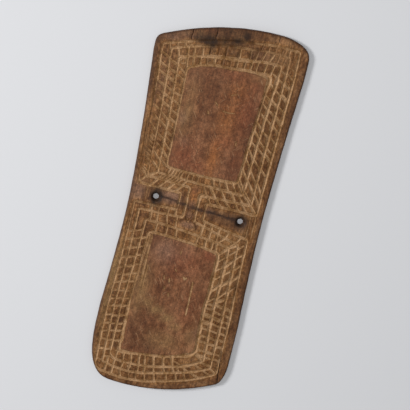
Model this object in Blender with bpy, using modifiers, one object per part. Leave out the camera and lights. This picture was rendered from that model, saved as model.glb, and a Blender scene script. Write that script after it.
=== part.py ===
# Carved wooden board shield, lying on its back.
# Metres. +Z out of the carved face, +Y towards the top end, origin under the middle.
# One plank: a waisted outline with bowed ends, two smooth panels, a lattice of cut
# grooves round each panel, and two funnel-shaped lashing holes at the waist.

from itertools import accumulate
from math import ceil, floor, radians

import bmesh
import bpy
from mathutils import Vector

# Outline of the board
BOARD_LENGTH = 0.900
TOP_WIDTH = 0.357
WAIST_WIDTH = 0.321
FOOT_WIDTH = 0.338
TOP_WIDTH_FROM_END = 0.095
FOOT_WIDTH_FROM_END = 0.185
WAIST_BELOW_MIDDLE = 0.017
WAIST_TO_THE_RIGHT = 0.0034
FOOT_TO_THE_RIGHT = 0.0013
SIDE_CURVE = 1.55
TOP_BOW_RADIUS = 0.540
FOOT_BOW_RADIUS = 0.455
TOP_BOW_TO_THE_RIGHT = 0.082
FOOT_BOW_TO_THE_LEFT = 0.047

# Worn corners: how far each rounding runs along the end and along the side
TOP_LEFT_CORNER = (0.014, 0.015)
TOP_RIGHT_CORNER = (0.070, 0.038)
FOOT_RIGHT_CORNER = (0.022, 0.056)
FOOT_LEFT_CORNER = (0.056, 0.115)

# Section: flat back, crowned face, rounded edges
THICKNESS = 0.017
CROWN = 0.006
CROWN_STRIP = 0.045
EDGE_ROUND = 0.004
EDGE_SEGMENTS = 3

# Grooves of the lattice
GROOVE_WIDTH = 0.0044
GROOVE_DEPTH = 0.0015
STROKE_WIDTH = 0.0040
STROKE_DEPTH = 0.0011
STROKE_STOP = 0.00025
CUTTER_RISE = 0.0006
LINE_CORNER = 0.004
RIM_FOOT_LEFT_CORNER = 0.030
PANEL_CORNER = 0.011
LOWER_PANEL_CORNER = 0.026

# Plain border, outer row, middle row and inner row, from the edge inwards
UPPER_LEFT_ROWS_AT_WAIST = (0.0128, 0.0173, 0.0227, 0.0147)
UPPER_LEFT_ROWS_AT_TOP = (0.0195, 0.0229, 0.0205, 0.0248)
UPPER_RIGHT_ROWS_AT_WAIST = (0.0140, 0.0188, 0.0277, 0.0195)
UPPER_RIGHT_ROWS_AT_TOP = (0.0230, 0.0208, 0.0142, 0.0170)
LOWER_LEFT_ROWS_AT_WAIST = (0.0140, 0.0140, 0.0225, 0.0120)
LOWER_LEFT_ROWS_AT_FOOT = (0.0200, 0.0165, 0.0125, 0.0200)
LOWER_RIGHT_ROWS_AT_WAIST = (0.0210, 0.0193, 0.0227, 0.0210)
LOWER_RIGHT_ROWS_AT_FOOT = (0.0225, 0.0175, 0.0230, 0.0210)
TOP_ROWS = (0.0310, 0.0150, 0.0255, 0.0235)
FOOT_ROWS_AT_LEFT = (0.0085, 0.0205, 0.0190, 0.0280)
FOOT_ROWS_AT_RIGHT = (0.0255, 0.0205, 0.0185, 0.0250)
FOOT_ROWS_SPREAD = 1.6

# The carver kept the pattern a little small, and set it up and to the left on the board
PATTERN_SHARE = (0.986, 0.997)
PATTERN_SHIFT = (-0.0020, 0.0039)

# Inner ends of the two panels' lines, middle row and panel: height at left, at right, bow
UPPER_PANEL_FOOT = ((0.0735, 0.0620, 0.0), (0.0910, 0.0865, -0.0020))
LOWER_PANEL_HEAD = ((-0.0430, -0.0690, 0.0045), (-0.0690, -0.0880, 0.0040))

# The plain window round each lashing hole, and the line that frames it:
# top at the edge, top inside, inner side, bottom inside, bottom at the edge
LEFT_WINDOW = ((0.0410, 0.0370, -0.0400, -0.0040, -0.0050),
               (0.0610, 0.0550, -0.0220, -0.0195, -0.0200))
RIGHT_WINDOW = ((0.0210, 0.0250, 0.0260, -0.0170, -0.0410),
                (0.0415, 0.0420, 0.0065, -0.0230, -0.0580))

# Lashing holes and the cord's wear between them
LEFT_HOLE = (-0.0955, 0.0190)
RIGHT_HOLE = (0.1124, 0.0020)
HOLE_RADIUS = 0.0068
HOLE_MOUTH_RADIUS = 0.0118
FUNNEL_DEPTH = 0.0090
BACK_MOUTH_RADIUS = 0.0082
BACK_MOUTH_DEPTH = 0.0020
HOLE_SIDES = 24
WINDOW_BARS = (0.1360, 0.1490)
BAR_WIDTH = 0.0024
BAR_DEPTH = 0.0007
WEAR_WIDTH = 0.0030
WEAR_DEPTH = 0.0008
WEAR_SAG = 0.0060

# Drying cracks: distance from the middle line, length from the end, lean
CRACK_WIDTH = 0.0016
CRACK_DEPTH = 0.0035
TOP_CRACKS = ((-0.1005, 0.026, 0.0010), (-0.0454, 0.022, -0.0015), (0.1018, 0.040, 0.0005))
FOOT_CRACKS = ((0.1560, 0.076, -0.0070),)

# Cross strokes by zone: row, first and last station, how many, lean at each station.
# A station is the place of the stroke's outer end, as a share of the outer line's run.
# A lean is how far along its inner end lies from there, as a share of the row's width.
STROKES = {
    "upper left": (
        (0, 0.952, 0.443, 9, -0.30, -0.80),
        (0, 0.387, 0.139, 9, -0.75, -0.75),
        (1, 0.915, 0.457, 8, -0.42, -0.68),
        (1, 0.397, 0.130, 8, -0.68, -0.70),
        (2, 0.916, 0.172, 12, -0.39, -0.78),
    ),
    "upper right": (
        (0, 0.862, 0.731, 4, 0.40, 0.45),
        (0, 0.668, 0.069, 9, 0.45, 0.81),
        (1, 0.837, 0.020, 12, 0.36, 1.08),
        (2, 0.843, 0.116, 10, 0.44, 1.00),
    ),
    "top": (
        (0, 0.066, 0.186, 3, 0.00, 0.00),
        (0, 0.733, 0.935, 5, -0.25, 0.00),
        (1, 0.083, 0.266, 4, 0.04, 0.00),
        (1, 0.569, 0.935, 7, -0.07, -0.25),
        (2, 0.161, 0.867, 11, 0.00, -0.26),
    ),
    "upper foot left": (
        (0, 0.292, 0.913, 4, 0.49, 0.42),
        (1, 0.300, 0.807, 6, 0.43, 0.41),
        (2, 0.150, 0.285, 4, 0.28, 0.35),
    ),
    "upper foot right": (
        (0, 0.912, 0.237, 6, -0.52, -0.56),
        (1, 0.900, 0.121, 6, -0.38, -0.69),
        (2, 0.637, 0.848, 3, -0.39, -0.60),
    ),
    "lower head left": (
        (0, 0.470, 0.940, 4, 0.00, 0.06),
        (1, 0.319, 0.836, 4, 0.00, 0.07),
        (2, 0.144, 0.357, 3, 0.00, 0.04),
    ),
    "lower head right": (
        (0, 0.920, 0.474, 4, 0.00, -0.23),
        (1, 0.810, 0.321, 4, 0.00, -0.31),
        (2, 0.637, 0.854, 4, 0.00, -0.04),
    ),
    "lower left": (
        (0, 0.178, 0.881, 15, 0.21, 0.06),
        (1, 0.137, 0.898, 15, 0.14, 0.14),
        (2, 0.139, 0.852, 13, 0.22, 0.11),
    ),
    "lower right": (
        (0, 0.111, 0.353, 4, -0.50, -0.67),
        (0, 0.445, 0.890, 8, 0.06, 0.06),
        (1, 0.035, 0.418, 5, -0.65, -0.78),
        (1, 0.540, 0.916, 7, 0.17, 0.04),
        (2, 0.095, 0.412, 5, -0.43, -0.38),
        (2, 0.505, 0.911, 8, 0.05, 0.00),
    ),
    "foot": (
        (0, 0.097, 0.739, 10, 0.05, -0.38),
        (0, 0.860, 0.951, 2, -1.18, -1.49),
        (1, 0.091, 0.774, 10, -0.10, -0.61),
        (1, 0.914, 0.914, 1, -1.42, -1.42),
        (2, 0.155, 0.678, 7, 0.00, -0.20),
        (2, 0.778, 0.944, 2, -0.74, -1.00),
    ),
}

# Mitre strokes that join the corners of neighbouring lines: zone that ends there, rows
MITRES = {
    "upper left": (0, 1),
    "upper right": (0, 2),
    "lower right": (1, 2),
    "foot": (0, 1, 2),
}

LINE_COUNT = 4
SIDE_STEPS = 9
CORNER_STEPS = 5
LINE_STEP = 0.036
MERGE_DISTANCE = 0.00001
WOOD_COLOUR = (0.175, 0.085, 0.042, 1.0)


def between(first, last, share):
    return first + (last - first) * share


# Edges of the outline

def edge_x(side, y):
    waist_y = -WAIST_BELOW_MIDDLE
    if y > waist_y:
        reach = BOARD_LENGTH / 2 - TOP_WIDTH_FROM_END - waist_y
        end_width, end_shift = TOP_WIDTH, 0.0
    else:
        reach = BOARD_LENGTH / 2 - FOOT_WIDTH_FROM_END + waist_y
        end_width, end_shift = FOOT_WIDTH, FOOT_TO_THE_RIGHT
    flare = min(abs(y - waist_y) / reach, 1.0) ** SIDE_CURVE
    half_width = between(WAIST_WIDTH, end_width, flare) / 2
    return side * half_width + between(WAIST_TO_THE_RIGHT, end_shift, flare)


def top_y(x):
    return BOARD_LENGTH / 2 - (x - TOP_BOW_TO_THE_RIGHT) ** 2 / (2 * TOP_BOW_RADIUS)


def foot_y(x):
    return -BOARD_LENGTH / 2 + (x + FOOT_BOW_TO_THE_LEFT) ** 2 / (2 * FOOT_BOW_RADIUS)


def meeting_point(side_at, end_at, side):
    x = side * WAIST_WIDTH / 2
    for _ in range(6):
        y = end_at(x)
        x = side_at(y)
    return Vector((x, y))


def bent(before, corner, after, steps):
    points = []
    for step in range(steps + 1):
        t = step / steps
        points.append(before * (1 - t) ** 2 + corner * 2 * t * (1 - t) + after * t ** 2)
    return points


def rounded_corner(side, end_at, cuts):
    end_cut, side_cut = cuts
    corner = meeting_point(lambda y: edge_x(side, y), end_at, side)
    along_end = corner.x - side * end_cut
    along_side = corner.y - side_cut * (1 if corner.y > 0 else -1)
    first = Vector((along_end, end_at(along_end)))
    last = Vector((edge_x(side, along_side), along_side))
    return bent(first, corner, last, CORNER_STEPS)


def end_points(end_at, first_x, last_x):
    step = CROWN_STRIP / 2
    low, high = sorted((first_x, last_x))
    stations = [i * step for i in range(floor(low / step) + 1, ceil(high / step))]
    stations = [x for x in stations if low + step / 3 < x < high - step / 3]
    if first_x > last_x:
        stations.reverse()
    return [Vector((x, end_at(x))) for x in stations]


def side_points(side, first_y, last_y):
    stations = [between(first_y, last_y, i / SIDE_STEPS) for i in range(1, SIDE_STEPS)]
    return [Vector((edge_x(side, y), y)) for y in stations]


def outline():
    # Counter-clockwise from the foot's left corner
    foot_left = rounded_corner(-1, foot_y, FOOT_LEFT_CORNER)[::-1]
    foot_right = rounded_corner(1, foot_y, FOOT_RIGHT_CORNER)
    top_right = rounded_corner(1, top_y, TOP_RIGHT_CORNER)[::-1]
    top_left = rounded_corner(-1, top_y, TOP_LEFT_CORNER)
    points = list(foot_left)
    points += end_points(foot_y, foot_left[-1].x, foot_right[0].x)
    points += foot_right
    points += side_points(1, foot_right[-1].y, top_right[0].y)
    points += top_right
    points += end_points(top_y, top_right[-1].x, top_left[0].x)
    points += top_left
    points += side_points(-1, top_left[-1].y, foot_left[0].y)
    return points


# Crowned face: straight strips across the width, so that every facet is flat

def crown_fall(x):
    return CROWN * (2 * x / TOP_WIDTH) ** 2


def face_z(x):
    strip = floor(x / CROWN_STRIP)
    share = x / CROWN_STRIP - strip
    near = crown_fall(strip * CROWN_STRIP)
    far = crown_fall((strip + 1) * CROWN_STRIP)
    return THICKNESS - between(near, far, share)


# Lines of the lattice, numbered from the edge inwards

class Line:
    # A carved line that runs along Y (a side) or along X (an end) between two stations
    def __init__(self, along, start, end, across_at):
        self.along = along
        self.start = start
        self.end = end
        self.across_at = across_at

    def point(self, station):
        across = self.across_at(station)
        return Vector((across, station) if self.along == "y" else (station, across))

    def holds(self, station):
        low, high = sorted((self.start, self.end))
        return low <= station <= high

    def inner_points(self):
        steps = max(1, ceil(abs(self.end - self.start) / LINE_STEP))
        return [self.point(between(self.start, self.end, i / steps)) for i in range(1, steps)]


def side_at(side, insets):
    # The insets at the waist and at the end of the board
    def across(y):
        return edge_x(side, y) - side * between(*insets, 2 * abs(y) / BOARD_LENGTH)
    return across


def top_at(inset):
    return lambda x: top_y(x) - inset


def foot_at(left_inset, right_inset):
    def across(x):
        share = max(x / FOOT_WIDTH + 0.5, 0.0)
        return foot_y(x) + between(left_inset, right_inset, share ** FOOT_ROWS_SPREAD)
    return across


def bowed(first, last, bow):
    # A straight run from the first point to the last, lifted in the middle by bow
    def across(x):
        share = (x - first.x) / (last.x - first.x)
        return between(first.y, last.y, share) + bow * 4 * share * (1 - share)
    return across


def on_side(side, insets, y):
    return Vector((side_at(side, insets)(y), y))


def side_insets():
    rows = {
        ("upper", -1): (UPPER_LEFT_ROWS_AT_WAIST, UPPER_LEFT_ROWS_AT_TOP),
        ("upper", 1): (UPPER_RIGHT_ROWS_AT_WAIST, UPPER_RIGHT_ROWS_AT_TOP),
        ("lower", -1): (LOWER_LEFT_ROWS_AT_WAIST, LOWER_LEFT_ROWS_AT_FOOT),
        ("lower", 1): (LOWER_RIGHT_ROWS_AT_WAIST, LOWER_RIGHT_ROWS_AT_FOOT),
    }
    return {place: list(zip(*map(accumulate, pair))) for place, pair in rows.items()}


def lattice_lines():
    # For each zone, its four lines from the edge inwards
    insets = side_insets()
    top_insets = list(accumulate(TOP_ROWS))
    foot_insets = list(zip(accumulate(FOOT_ROWS_AT_LEFT), accumulate(FOOT_ROWS_AT_RIGHT)))
    windows = {-1: LEFT_WINDOW, 1: RIGHT_WINDOW}
    names = {-1: "left", 1: "right"}
    lines = {}
    for k in range(LINE_COUNT):
        ends = {"upper": top_at(top_insets[k]), "lower": foot_at(*foot_insets[k])}
        inner = {}
        for side in (-1, 1):
            for half in ("upper", "lower"):
                inset = insets[half, side][k]
                if k < 2:
                    height = windows[side][k][0 if half == "upper" else 4]
                else:
                    heights = UPPER_PANEL_FOOT if half == "upper" else LOWER_PANEL_HEAD
                    height = heights[k - 2][0 if side < 0 else 1]
                inner[half, side] = on_side(side, inset, height)
                outer = meeting_point(side_at(side, inset), ends[half], side)
                inner[half, side, "end"] = outer
                zone = f"{half} {names[side]}"
                lines[zone, k] = Line("y", height, outer.y, side_at(side, inset))
        for half, zone in (("upper", "top"), ("lower", "foot")):
            left, right = inner[half, -1, "end"], inner[half, 1, "end"]
            lines[zone, k] = Line("x", left.x, right.x, ends[half])
        for half, zone in (("upper", "upper foot"), ("lower", "lower head")):
            for side in (-1, 1):
                edge = inner[half, side]
                if k < 2:
                    top, top_in, inner_x, bottom_in, bottom = windows[side][k]
                    height = top_in if half == "upper" else bottom_in
                    corner = Vector((inner_x, height))
                    across = bowed(edge, corner, 0.0)
                    lines[f"{zone} {names[side]}", k] = Line("x", edge.x, inner_x, across)
                else:
                    heights = UPPER_PANEL_FOOT if half == "upper" else LOWER_PANEL_HEAD
                    left, right = inner[half, -1], inner[half, 1]
                    across = bowed(left, right, heights[k - 2][2])
                    lines[f"{zone} {names[side]}", k] = Line("x", left.x, right.x, across)
    return lines


def softened(path):
    # Rounds each corner of a closed path; a corner carries its cut, other points carry 0
    points = []
    for i, (here, cut) in enumerate(path):
        if cut == 0:
            points.append(here)
            continue
        before = path[i - 1][0] - here
        after = path[(i + 1) % len(path)][0] - here
        before = here + before.normalized() * min(cut, before.length / 2)
        after = here + after.normalized() * min(cut, after.length / 2)
        points += bent(before, here, after, 2)
    return points


def path_along(runs):
    # Joins lines end to end; each run is a line, its direction and the cut at its start
    path = []
    for line, forward, cut in runs:
        path.append((line.point(line.start if forward else line.end), cut))
        inner = line.inner_points()
        path += [(point, 0) for point in (inner if forward else inner[::-1])]
    return softened(path)


def ring_paths(lines):
    paths = []
    for k in (0, 1):
        runs = []
        for side, name, window in ((-1, "left", LEFT_WINDOW[k]), (1, "right", RIGHT_WINDOW[k])):
            inner_side = Line("y", window[1], window[3], lambda y, x=window[2]: x)
            leg = [
                (lines[f"upper {name}", k], False, LINE_CORNER),
                (lines[f"upper foot {name}", k], True, LINE_CORNER),
                (inner_side, True, LINE_CORNER),
                (lines[f"lower head {name}", k], False, LINE_CORNER),
                (lines[f"lower {name}", k], True, LINE_CORNER),
            ]
            if side < 0:
                runs += leg
                cut = RIM_FOOT_LEFT_CORNER if k == 0 else LINE_CORNER
                runs.append((lines["foot", k], True, cut))
            else:
                runs += [(line, not forward, cut) for line, forward, cut in leg[::-1]]
                runs.append((lines["top", k], False, LINE_CORNER))
        paths.append(path_along(runs))
    for k in (2, 3):
        cut = PANEL_CORNER if k == 3 else LINE_CORNER
        foot_cut = LOWER_PANEL_CORNER if k == 3 else LINE_CORNER
        paths.append(path_along([
            (lines["upper left", k], False, cut),
            (lines["upper foot left", k], True, cut),
            (lines["upper right", k], True, cut),
            (lines["top", k], False, cut),
        ]))
        paths.append(path_along([
            (lines["lower left", k], True, cut),
            (lines["foot", k], True, cut),
            (lines["lower right", k], False, foot_cut),
            (lines["lower head right", k], False, cut),
        ]))
    return paths


def placed(paths):
    # From the pattern's own measures to its place on the board
    return [[Vector((p.x * PATTERN_SHARE[0] + PATTERN_SHIFT[0],
                     p.y * PATTERN_SHARE[1] + PATTERN_SHIFT[1])) for p in path] for path in paths]


def stroke(outer_point, inner_point):
    # A stroke stops just inside the cut of the line at each end
    stop = (inner_point - outer_point).normalized() * STROKE_STOP
    return [outer_point + stop, inner_point - stop]


def stroke_paths(lines, row):
    paths = []
    for zone, runs in STROKES.items():
        outer, inner = lines[zone, row], lines[zone, row + 1]
        for run_row, first, last, count, first_lean, last_lean in runs:
            if run_row != row:
                continue
            for i in range(count):
                share = i / max(count - 1, 1)
                outer_end = between(outer.start, outer.end, between(first, last, share))
                row_width = (outer.point(outer_end) - inner.point(outer_end)).length
                inner_end = outer_end + row_width * between(first_lean, last_lean, share)
                if inner.holds(inner_end):
                    paths.append(stroke(outer.point(outer_end), inner.point(inner_end)))
    for zone, rows in MITRES.items():
        if row in rows:
            outer, inner = lines[zone, row], lines[zone, row + 1]
            at_end = zone == "foot"
            station = (lambda line: line.end) if at_end else (lambda line: line.start)
            paths.append(stroke(outer.point(station(outer)), inner.point(station(inner))))
    return paths


# Cutters

def make_collection(name):
    collection = bpy.data.collections.new(name)
    bpy.context.scene.collection.children.link(collection)
    return collection


def curve_object(name, paths, closed, collection, flat=False):
    curve = bpy.data.curves.new(name, "CURVE")
    curve.dimensions = "2D" if flat else "3D"
    curve.twist_mode = "Z_UP"
    for path in paths:
        spline = curve.splines.new("POLY")
        spline.points.add(len(path) - 1)
        for spline_point, point in zip(spline.points, path):
            spline_point.co = (point.x, point.y, point.z if len(point) == 3 else 0.0, 1.0)
        spline.use_cyclic_u = closed
    curve_obj = bpy.data.objects.new(name, curve)
    collection.objects.link(curve_obj)
    return curve_obj


def curve_to_mesh(curve_obj, collection):
    name = curve_obj.name
    depsgraph = bpy.context.evaluated_depsgraph_get()
    mesh = bpy.data.meshes.new_from_object(curve_obj.evaluated_get(depsgraph))
    mesh.name = name
    bm = bmesh.new()
    bm.from_mesh(mesh)
    bmesh.ops.remove_doubles(bm, verts=bm.verts, dist=MERGE_DISTANCE)
    bmesh.ops.recalc_face_normals(bm, faces=bm.faces)
    bm.to_mesh(mesh)
    bm.free()
    matrix = curve_obj.matrix_world.copy()
    bpy.data.objects.remove(curve_obj, do_unlink=True)
    mesh_obj = bpy.data.objects.new(name, mesh)
    mesh_obj.matrix_world = matrix
    collection.objects.link(mesh_obj)
    return mesh_obj


def as_cutter(cutter):
    cutter.hide_render = True
    cutter.display_type = "WIRE"
    return cutter


def groove_cutter(name, paths, width, depth, closed, collection):
    # Sweeps a V along the paths: its point is at depth, its sides pass the face at width
    spread = (depth + CUTTER_RISE) / depth * width / 2
    section = [Vector((0, -depth)), Vector((spread, CUTTER_RISE)), Vector((-spread, CUTTER_RISE))]
    profile = curve_object(name + "_section", [section], True, collection, flat=True)
    lifted = [[Vector((p.x, p.y, face_z(p.x))) for p in path] for path in paths]
    swept = curve_object(name, lifted, closed, collection)
    swept.data.bevel_mode = "OBJECT"
    swept.data.bevel_object = profile
    swept.data.use_fill_caps = not closed
    cutter = curve_to_mesh(swept, collection)
    bpy.data.objects.remove(profile, do_unlink=True)
    return as_cutter(cutter)


def hole_cutter(name, place, collection):
    # A turned funnel: wide at the face, a straight throat, and a small flare at the back
    surface = face_z(place[0])
    slope = (HOLE_MOUTH_RADIUS - HOLE_RADIUS) / FUNNEL_DEPTH
    back_slope = (BACK_MOUTH_RADIUS - HOLE_RADIUS) / BACK_MOUTH_DEPTH
    profile = [
        (0.0, surface + CUTTER_RISE),
        (HOLE_MOUTH_RADIUS + slope * CUTTER_RISE, surface + CUTTER_RISE),
        (HOLE_RADIUS, surface - FUNNEL_DEPTH),
        (HOLE_RADIUS, BACK_MOUTH_DEPTH),
        (BACK_MOUTH_RADIUS + back_slope * CUTTER_RISE, -CUTTER_RISE),
        (0.0, -CUTTER_RISE),
    ]
    mesh = bpy.data.meshes.new(name)
    bm = bmesh.new()
    verts = [bm.verts.new((radius, 0.0, z)) for radius, z in profile]
    for lower, upper in zip(verts, verts[1:]):
        bm.edges.new((lower, upper))
    bm.to_mesh(mesh)
    bm.free()
    cutter = bpy.data.objects.new(name, mesh)
    cutter.location = (place[0], place[1], 0.0)
    collection.objects.link(cutter)
    screw = cutter.modifiers.new("turned", "SCREW")
    screw.steps = HOLE_SIDES
    screw.render_steps = HOLE_SIDES
    screw.use_merge_vertices = True
    screw.merge_threshold = 0.0001
    return as_cutter(cutter)


def crack_paths():
    paths = []
    over = 2 * EDGE_ROUND
    for x, length, lean in TOP_CRACKS:
        end = top_y(x)
        paths.append([Vector((x, end + over)), Vector((x + lean, end - length))])
    for x, length, lean in FOOT_CRACKS:
        end = foot_y(x)
        paths.append([Vector((x, end - over)), Vector((x + lean, end + length))])
    return paths


def bar_paths(lines):
    # Thin upright lines that close the right window towards the edge
    upper, lower = lines["upper foot right", 0], lines["lower head right", 0]
    return [[upper.point(x), lower.point(x)] for x in WINDOW_BARS]


def wear_path():
    # The line that the lashing wore into the face, from one hole's throat to the other's
    start, end = Vector(LEFT_HOLE), Vector(RIGHT_HOLE)
    middle = (start + end) / 2 - Vector((0, WEAR_SAG * 2))
    way = (end - start).normalized() * HOLE_RADIUS
    return bent(start + way, middle, end - way, 6)


# The board

def is_level(face):
    return abs(face.normal.z) > abs(face.normal.x) + abs(face.normal.y)


def board_blank(collection):
    flat = curve_object("shield_board", [outline()], True, collection, flat=True)
    flat.data.fill_mode = "BOTH"
    flat.data.extrude = THICKNESS / 2
    flat.location.z = THICKNESS / 2
    bpy.context.view_layer.update()
    board = curve_to_mesh(flat, collection)
    board.data.transform(board.matrix_world)
    board.matrix_world.identity()
    bm = bmesh.new()
    bm.from_mesh(board.data)
    cap_edges = [e for e in bm.edges if all(is_level(f) for f in e.link_faces)]
    bmesh.ops.dissolve_edges(bm, edges=cap_edges, use_verts=False)
    strips = floor(TOP_WIDTH / 2 / CROWN_STRIP)
    for i in range(-strips, strips + 1):
        face = [f for f in bm.faces if is_level(f) and f.normal.z > 0]
        rim = {e for f in face for e in f.edges}
        corners = {v for f in face for v in f.verts}
        bmesh.ops.bisect_plane(bm, geom=[*face, *rim, *corners], dist=1e-6,
                               plane_co=(i * CROWN_STRIP, 0, 0), plane_no=(1, 0, 0))
    for vert in bm.verts:
        if vert.co.z > THICKNESS / 2:
            vert.co.z = face_z(vert.co.x)
    bmesh.ops.recalc_face_normals(bm, faces=bm.faces)
    bm.to_mesh(board.data)
    bm.free()
    edge = board.modifiers.new("worn_edge", "BEVEL")
    edge.width = EDGE_ROUND
    edge.segments = EDGE_SEGMENTS
    edge.limit_method = "ANGLE"
    edge.angle_limit = radians(50)
    edge.use_clamp_overlap = False
    return board


def cut(board, cutter):
    boolean = board.modifiers.new(cutter.name, "BOOLEAN")
    boolean.operation = "DIFFERENCE"
    boolean.solver = "EXACT"
    boolean.object = cutter
    weld = board.modifiers.new(cutter.name + "_weld", "WELD")
    weld.merge_threshold = MERGE_DISTANCE


def wood_material():
    material = bpy.data.materials.new("aged_wood")
    material.use_nodes = True
    shader = material.node_tree.nodes["Principled BSDF"]
    shader.inputs["Base Color"].default_value = WOOD_COLOUR
    shader.inputs["Roughness"].default_value = 0.55
    shader.inputs["Metallic"].default_value = 0.0
    return material


def main():
    for old in list(bpy.data.objects):
        bpy.data.objects.remove(old, do_unlink=True)
    parts = make_collection("tribal_shield")
    cutters = make_collection("cutters")
    board = board_blank(parts)
    board.data.materials.append(wood_material())
    lines = lattice_lines()
    cut(board, groove_cutter("lattice_rings", placed(ring_paths(lines)), GROOVE_WIDTH,
                             GROOVE_DEPTH, True, cutters))
    for row in range(LINE_COUNT - 1):
        cut(board, groove_cutter(f"row_{row + 1}_strokes", placed(stroke_paths(lines, row)),
                                 STROKE_WIDTH, STROKE_DEPTH, False, cutters))
    cut(board, groove_cutter("window_bars", placed(bar_paths(lines)), BAR_WIDTH, BAR_DEPTH,
                             False, cutters))
    cut(board, groove_cutter("lashing_wear", [wear_path()], WEAR_WIDTH, WEAR_DEPTH,
                             False, cutters))
    cut(board, hole_cutter("left_hole", LEFT_HOLE, cutters))
    cut(board, hole_cutter("right_hole", RIGHT_HOLE, cutters))
    cut(board, groove_cutter("drying_cracks", crack_paths(), CRACK_WIDTH, CRACK_DEPTH,
                             False, cutters))


main()
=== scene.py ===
# Carved wooden board shield, lying face up on a pale studio floor.
# One plank with two smooth worn panels, a hand-cut lattice round each, and two lashing holes.
from itertools import accumulate
from math import cos, floor, pi, radians, sin, tan

import bmesh
import bpy
import numpy as np
from mathutils import Matrix, Vector, noise
from mathutils.geometry import delaunay_2d_cdt


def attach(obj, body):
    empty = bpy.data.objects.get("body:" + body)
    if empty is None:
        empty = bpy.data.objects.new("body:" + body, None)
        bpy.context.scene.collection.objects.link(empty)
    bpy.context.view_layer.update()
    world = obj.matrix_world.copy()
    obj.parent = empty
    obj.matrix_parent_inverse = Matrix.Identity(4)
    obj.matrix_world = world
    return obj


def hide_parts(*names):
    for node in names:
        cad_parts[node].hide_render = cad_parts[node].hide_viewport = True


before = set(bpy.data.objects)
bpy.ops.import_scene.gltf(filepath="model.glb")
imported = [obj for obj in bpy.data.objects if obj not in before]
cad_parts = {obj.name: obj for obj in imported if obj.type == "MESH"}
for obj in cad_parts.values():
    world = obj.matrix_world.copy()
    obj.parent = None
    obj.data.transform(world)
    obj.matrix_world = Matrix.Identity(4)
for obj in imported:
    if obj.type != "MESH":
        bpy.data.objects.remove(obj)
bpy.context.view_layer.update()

bpy.ops.object.select_all(action="DESELECT")
print("frame loaded")

mm = 0.001

# Board: outline, section and rim, in metres; the same sizes as the solid it stands for
board = {
    "length": 0.900,
    "topWidth": 0.357,
    "waistWidth": 0.321,
    "footWidth": 0.338,
    "topWidthFromEnd": 0.095,
    "footWidthFromEnd": 0.185,
    "waistBelowMiddle": 0.017,
    "waistToTheRight": 0.0034,
    "footToTheRight": 0.0013,
    "sideCurve": 1.55,
    "topBowRadius": 0.540,
    "footBowRadius": 0.455,
    "topBowToTheRight": 0.082,
    "footBowToTheLeft": 0.047,
    "topLeftCorner": (0.014, 0.015),      # cut along the end, cut along the side
    "topRightCorner": (0.070, 0.038),
    "footRightCorner": (0.022, 0.056),
    "footLeftCorner": (0.056, 0.115),
    "thickness": 0.017,
    "crown": 0.006,
    "faceEdgeRound": 0.0042,
    "backEdgeRound": 0.0032,
    "rimWobble": 0.00042,                 # how far the hand-cut edge wanders inwards
    # each noise layer: share, size across, size along, seed
    "rimWaves": ((1, 1 / 38, 1 / 38, 2.0), (0.5, 1 / 120, 1 / 120, 5.0)),
    "rimClear": 0.00008,                  # what it always keeps inside the solid's edge
    "cornerSteps": 16,
    "endSteps": 80,
    "sideSteps": 160,
    "step": 3.0 * mm,                     # between points of the finished outline
    "meetingRounds": 6,                   # to find where a side meets an end
    "wallLoops": 2,                       # rings of points between the face's rim and the back's
}


def between(first, last, share):
    return first + (last - first) * share


def edgeX(side, y):
    waistY = -board["waistBelowMiddle"]
    if y > waistY:
        reach = board["length"] / 2 - board["topWidthFromEnd"] - waistY
        endWidth, endShift = board["topWidth"], 0.0
    else:
        reach = board["length"] / 2 - board["footWidthFromEnd"] + waistY
        endWidth, endShift = board["footWidth"], board["footToTheRight"]
    flare = min(abs(y - waistY) / reach, 1.0) ** board["sideCurve"]
    halfWidth = between(board["waistWidth"], endWidth, flare) / 2
    return side * halfWidth + between(board["waistToTheRight"], endShift, flare)


def topY(x):
    return board["length"] / 2 - (x - board["topBowToTheRight"]) ** 2 / (2 * board["topBowRadius"])


def footY(x):
    rise = (x + board["footBowToTheLeft"]) ** 2 / (2 * board["footBowRadius"])
    return -board["length"] / 2 + rise


def meetingPoint(sideAcross, endAcross, side):
    x = side * board["waistWidth"] / 2
    for _ in range(board["meetingRounds"]):
        y = endAcross(x)
        x = sideAcross(y)
    return Vector((x, y))


def bent(before, corner, after, steps):
    points = []
    for step in range(steps + 1):
        t = step / steps
        points.append(before * (1 - t) ** 2 + corner * 2 * t * (1 - t) + after * t ** 2)
    return points


def roundedCorner(side, endAcross, cuts):
    endCut, sideCut = cuts
    corner = meetingPoint(lambda y: edgeX(side, y), endAcross, side)
    alongEnd = corner.x - side * endCut
    alongSide = corner.y - sideCut * (1 if corner.y > 0 else -1)
    first = Vector((alongEnd, endAcross(alongEnd)))
    last = Vector((edgeX(side, alongSide), alongSide))
    return bent(first, corner, last, board["cornerSteps"])


def resampled(points, step, closed):
    # Evenly spaced points along a path
    path = np.array([(p[0], p[1]) for p in points], float)
    if closed:
        path = np.vstack([path, path[:1]])
    lengths = np.hypot(*np.diff(path, axis=0).T)
    run = np.concatenate([[0], np.cumsum(lengths)])
    count = max(2, int(round(run[-1] / step)))
    stations = np.linspace(0, run[-1], count + 1)
    if closed:
        stations = stations[:-1]
    return np.column_stack([np.interp(stations, run, path[:, i]) for i in (0, 1)])


def normalsOf(path, closed):
    if closed:
        along = np.roll(path, -1, axis=0) - np.roll(path, 1, axis=0)
    else:
        along = np.gradient(path, axis=0)
    along /= np.maximum(np.hypot(*along.T), 1e-9)[:, None]
    return np.column_stack([-along[:, 1], along[:, 0]])


def waves(points, layers):
    # Soft noise at each point, as a sum of layers
    total = np.zeros(len(points))
    for share, across, along, seed in layers:
        total += share * np.array([noise.noise(Vector((x / across, y / along, seed)))
                                   for x, y in points])
    return total


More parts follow.
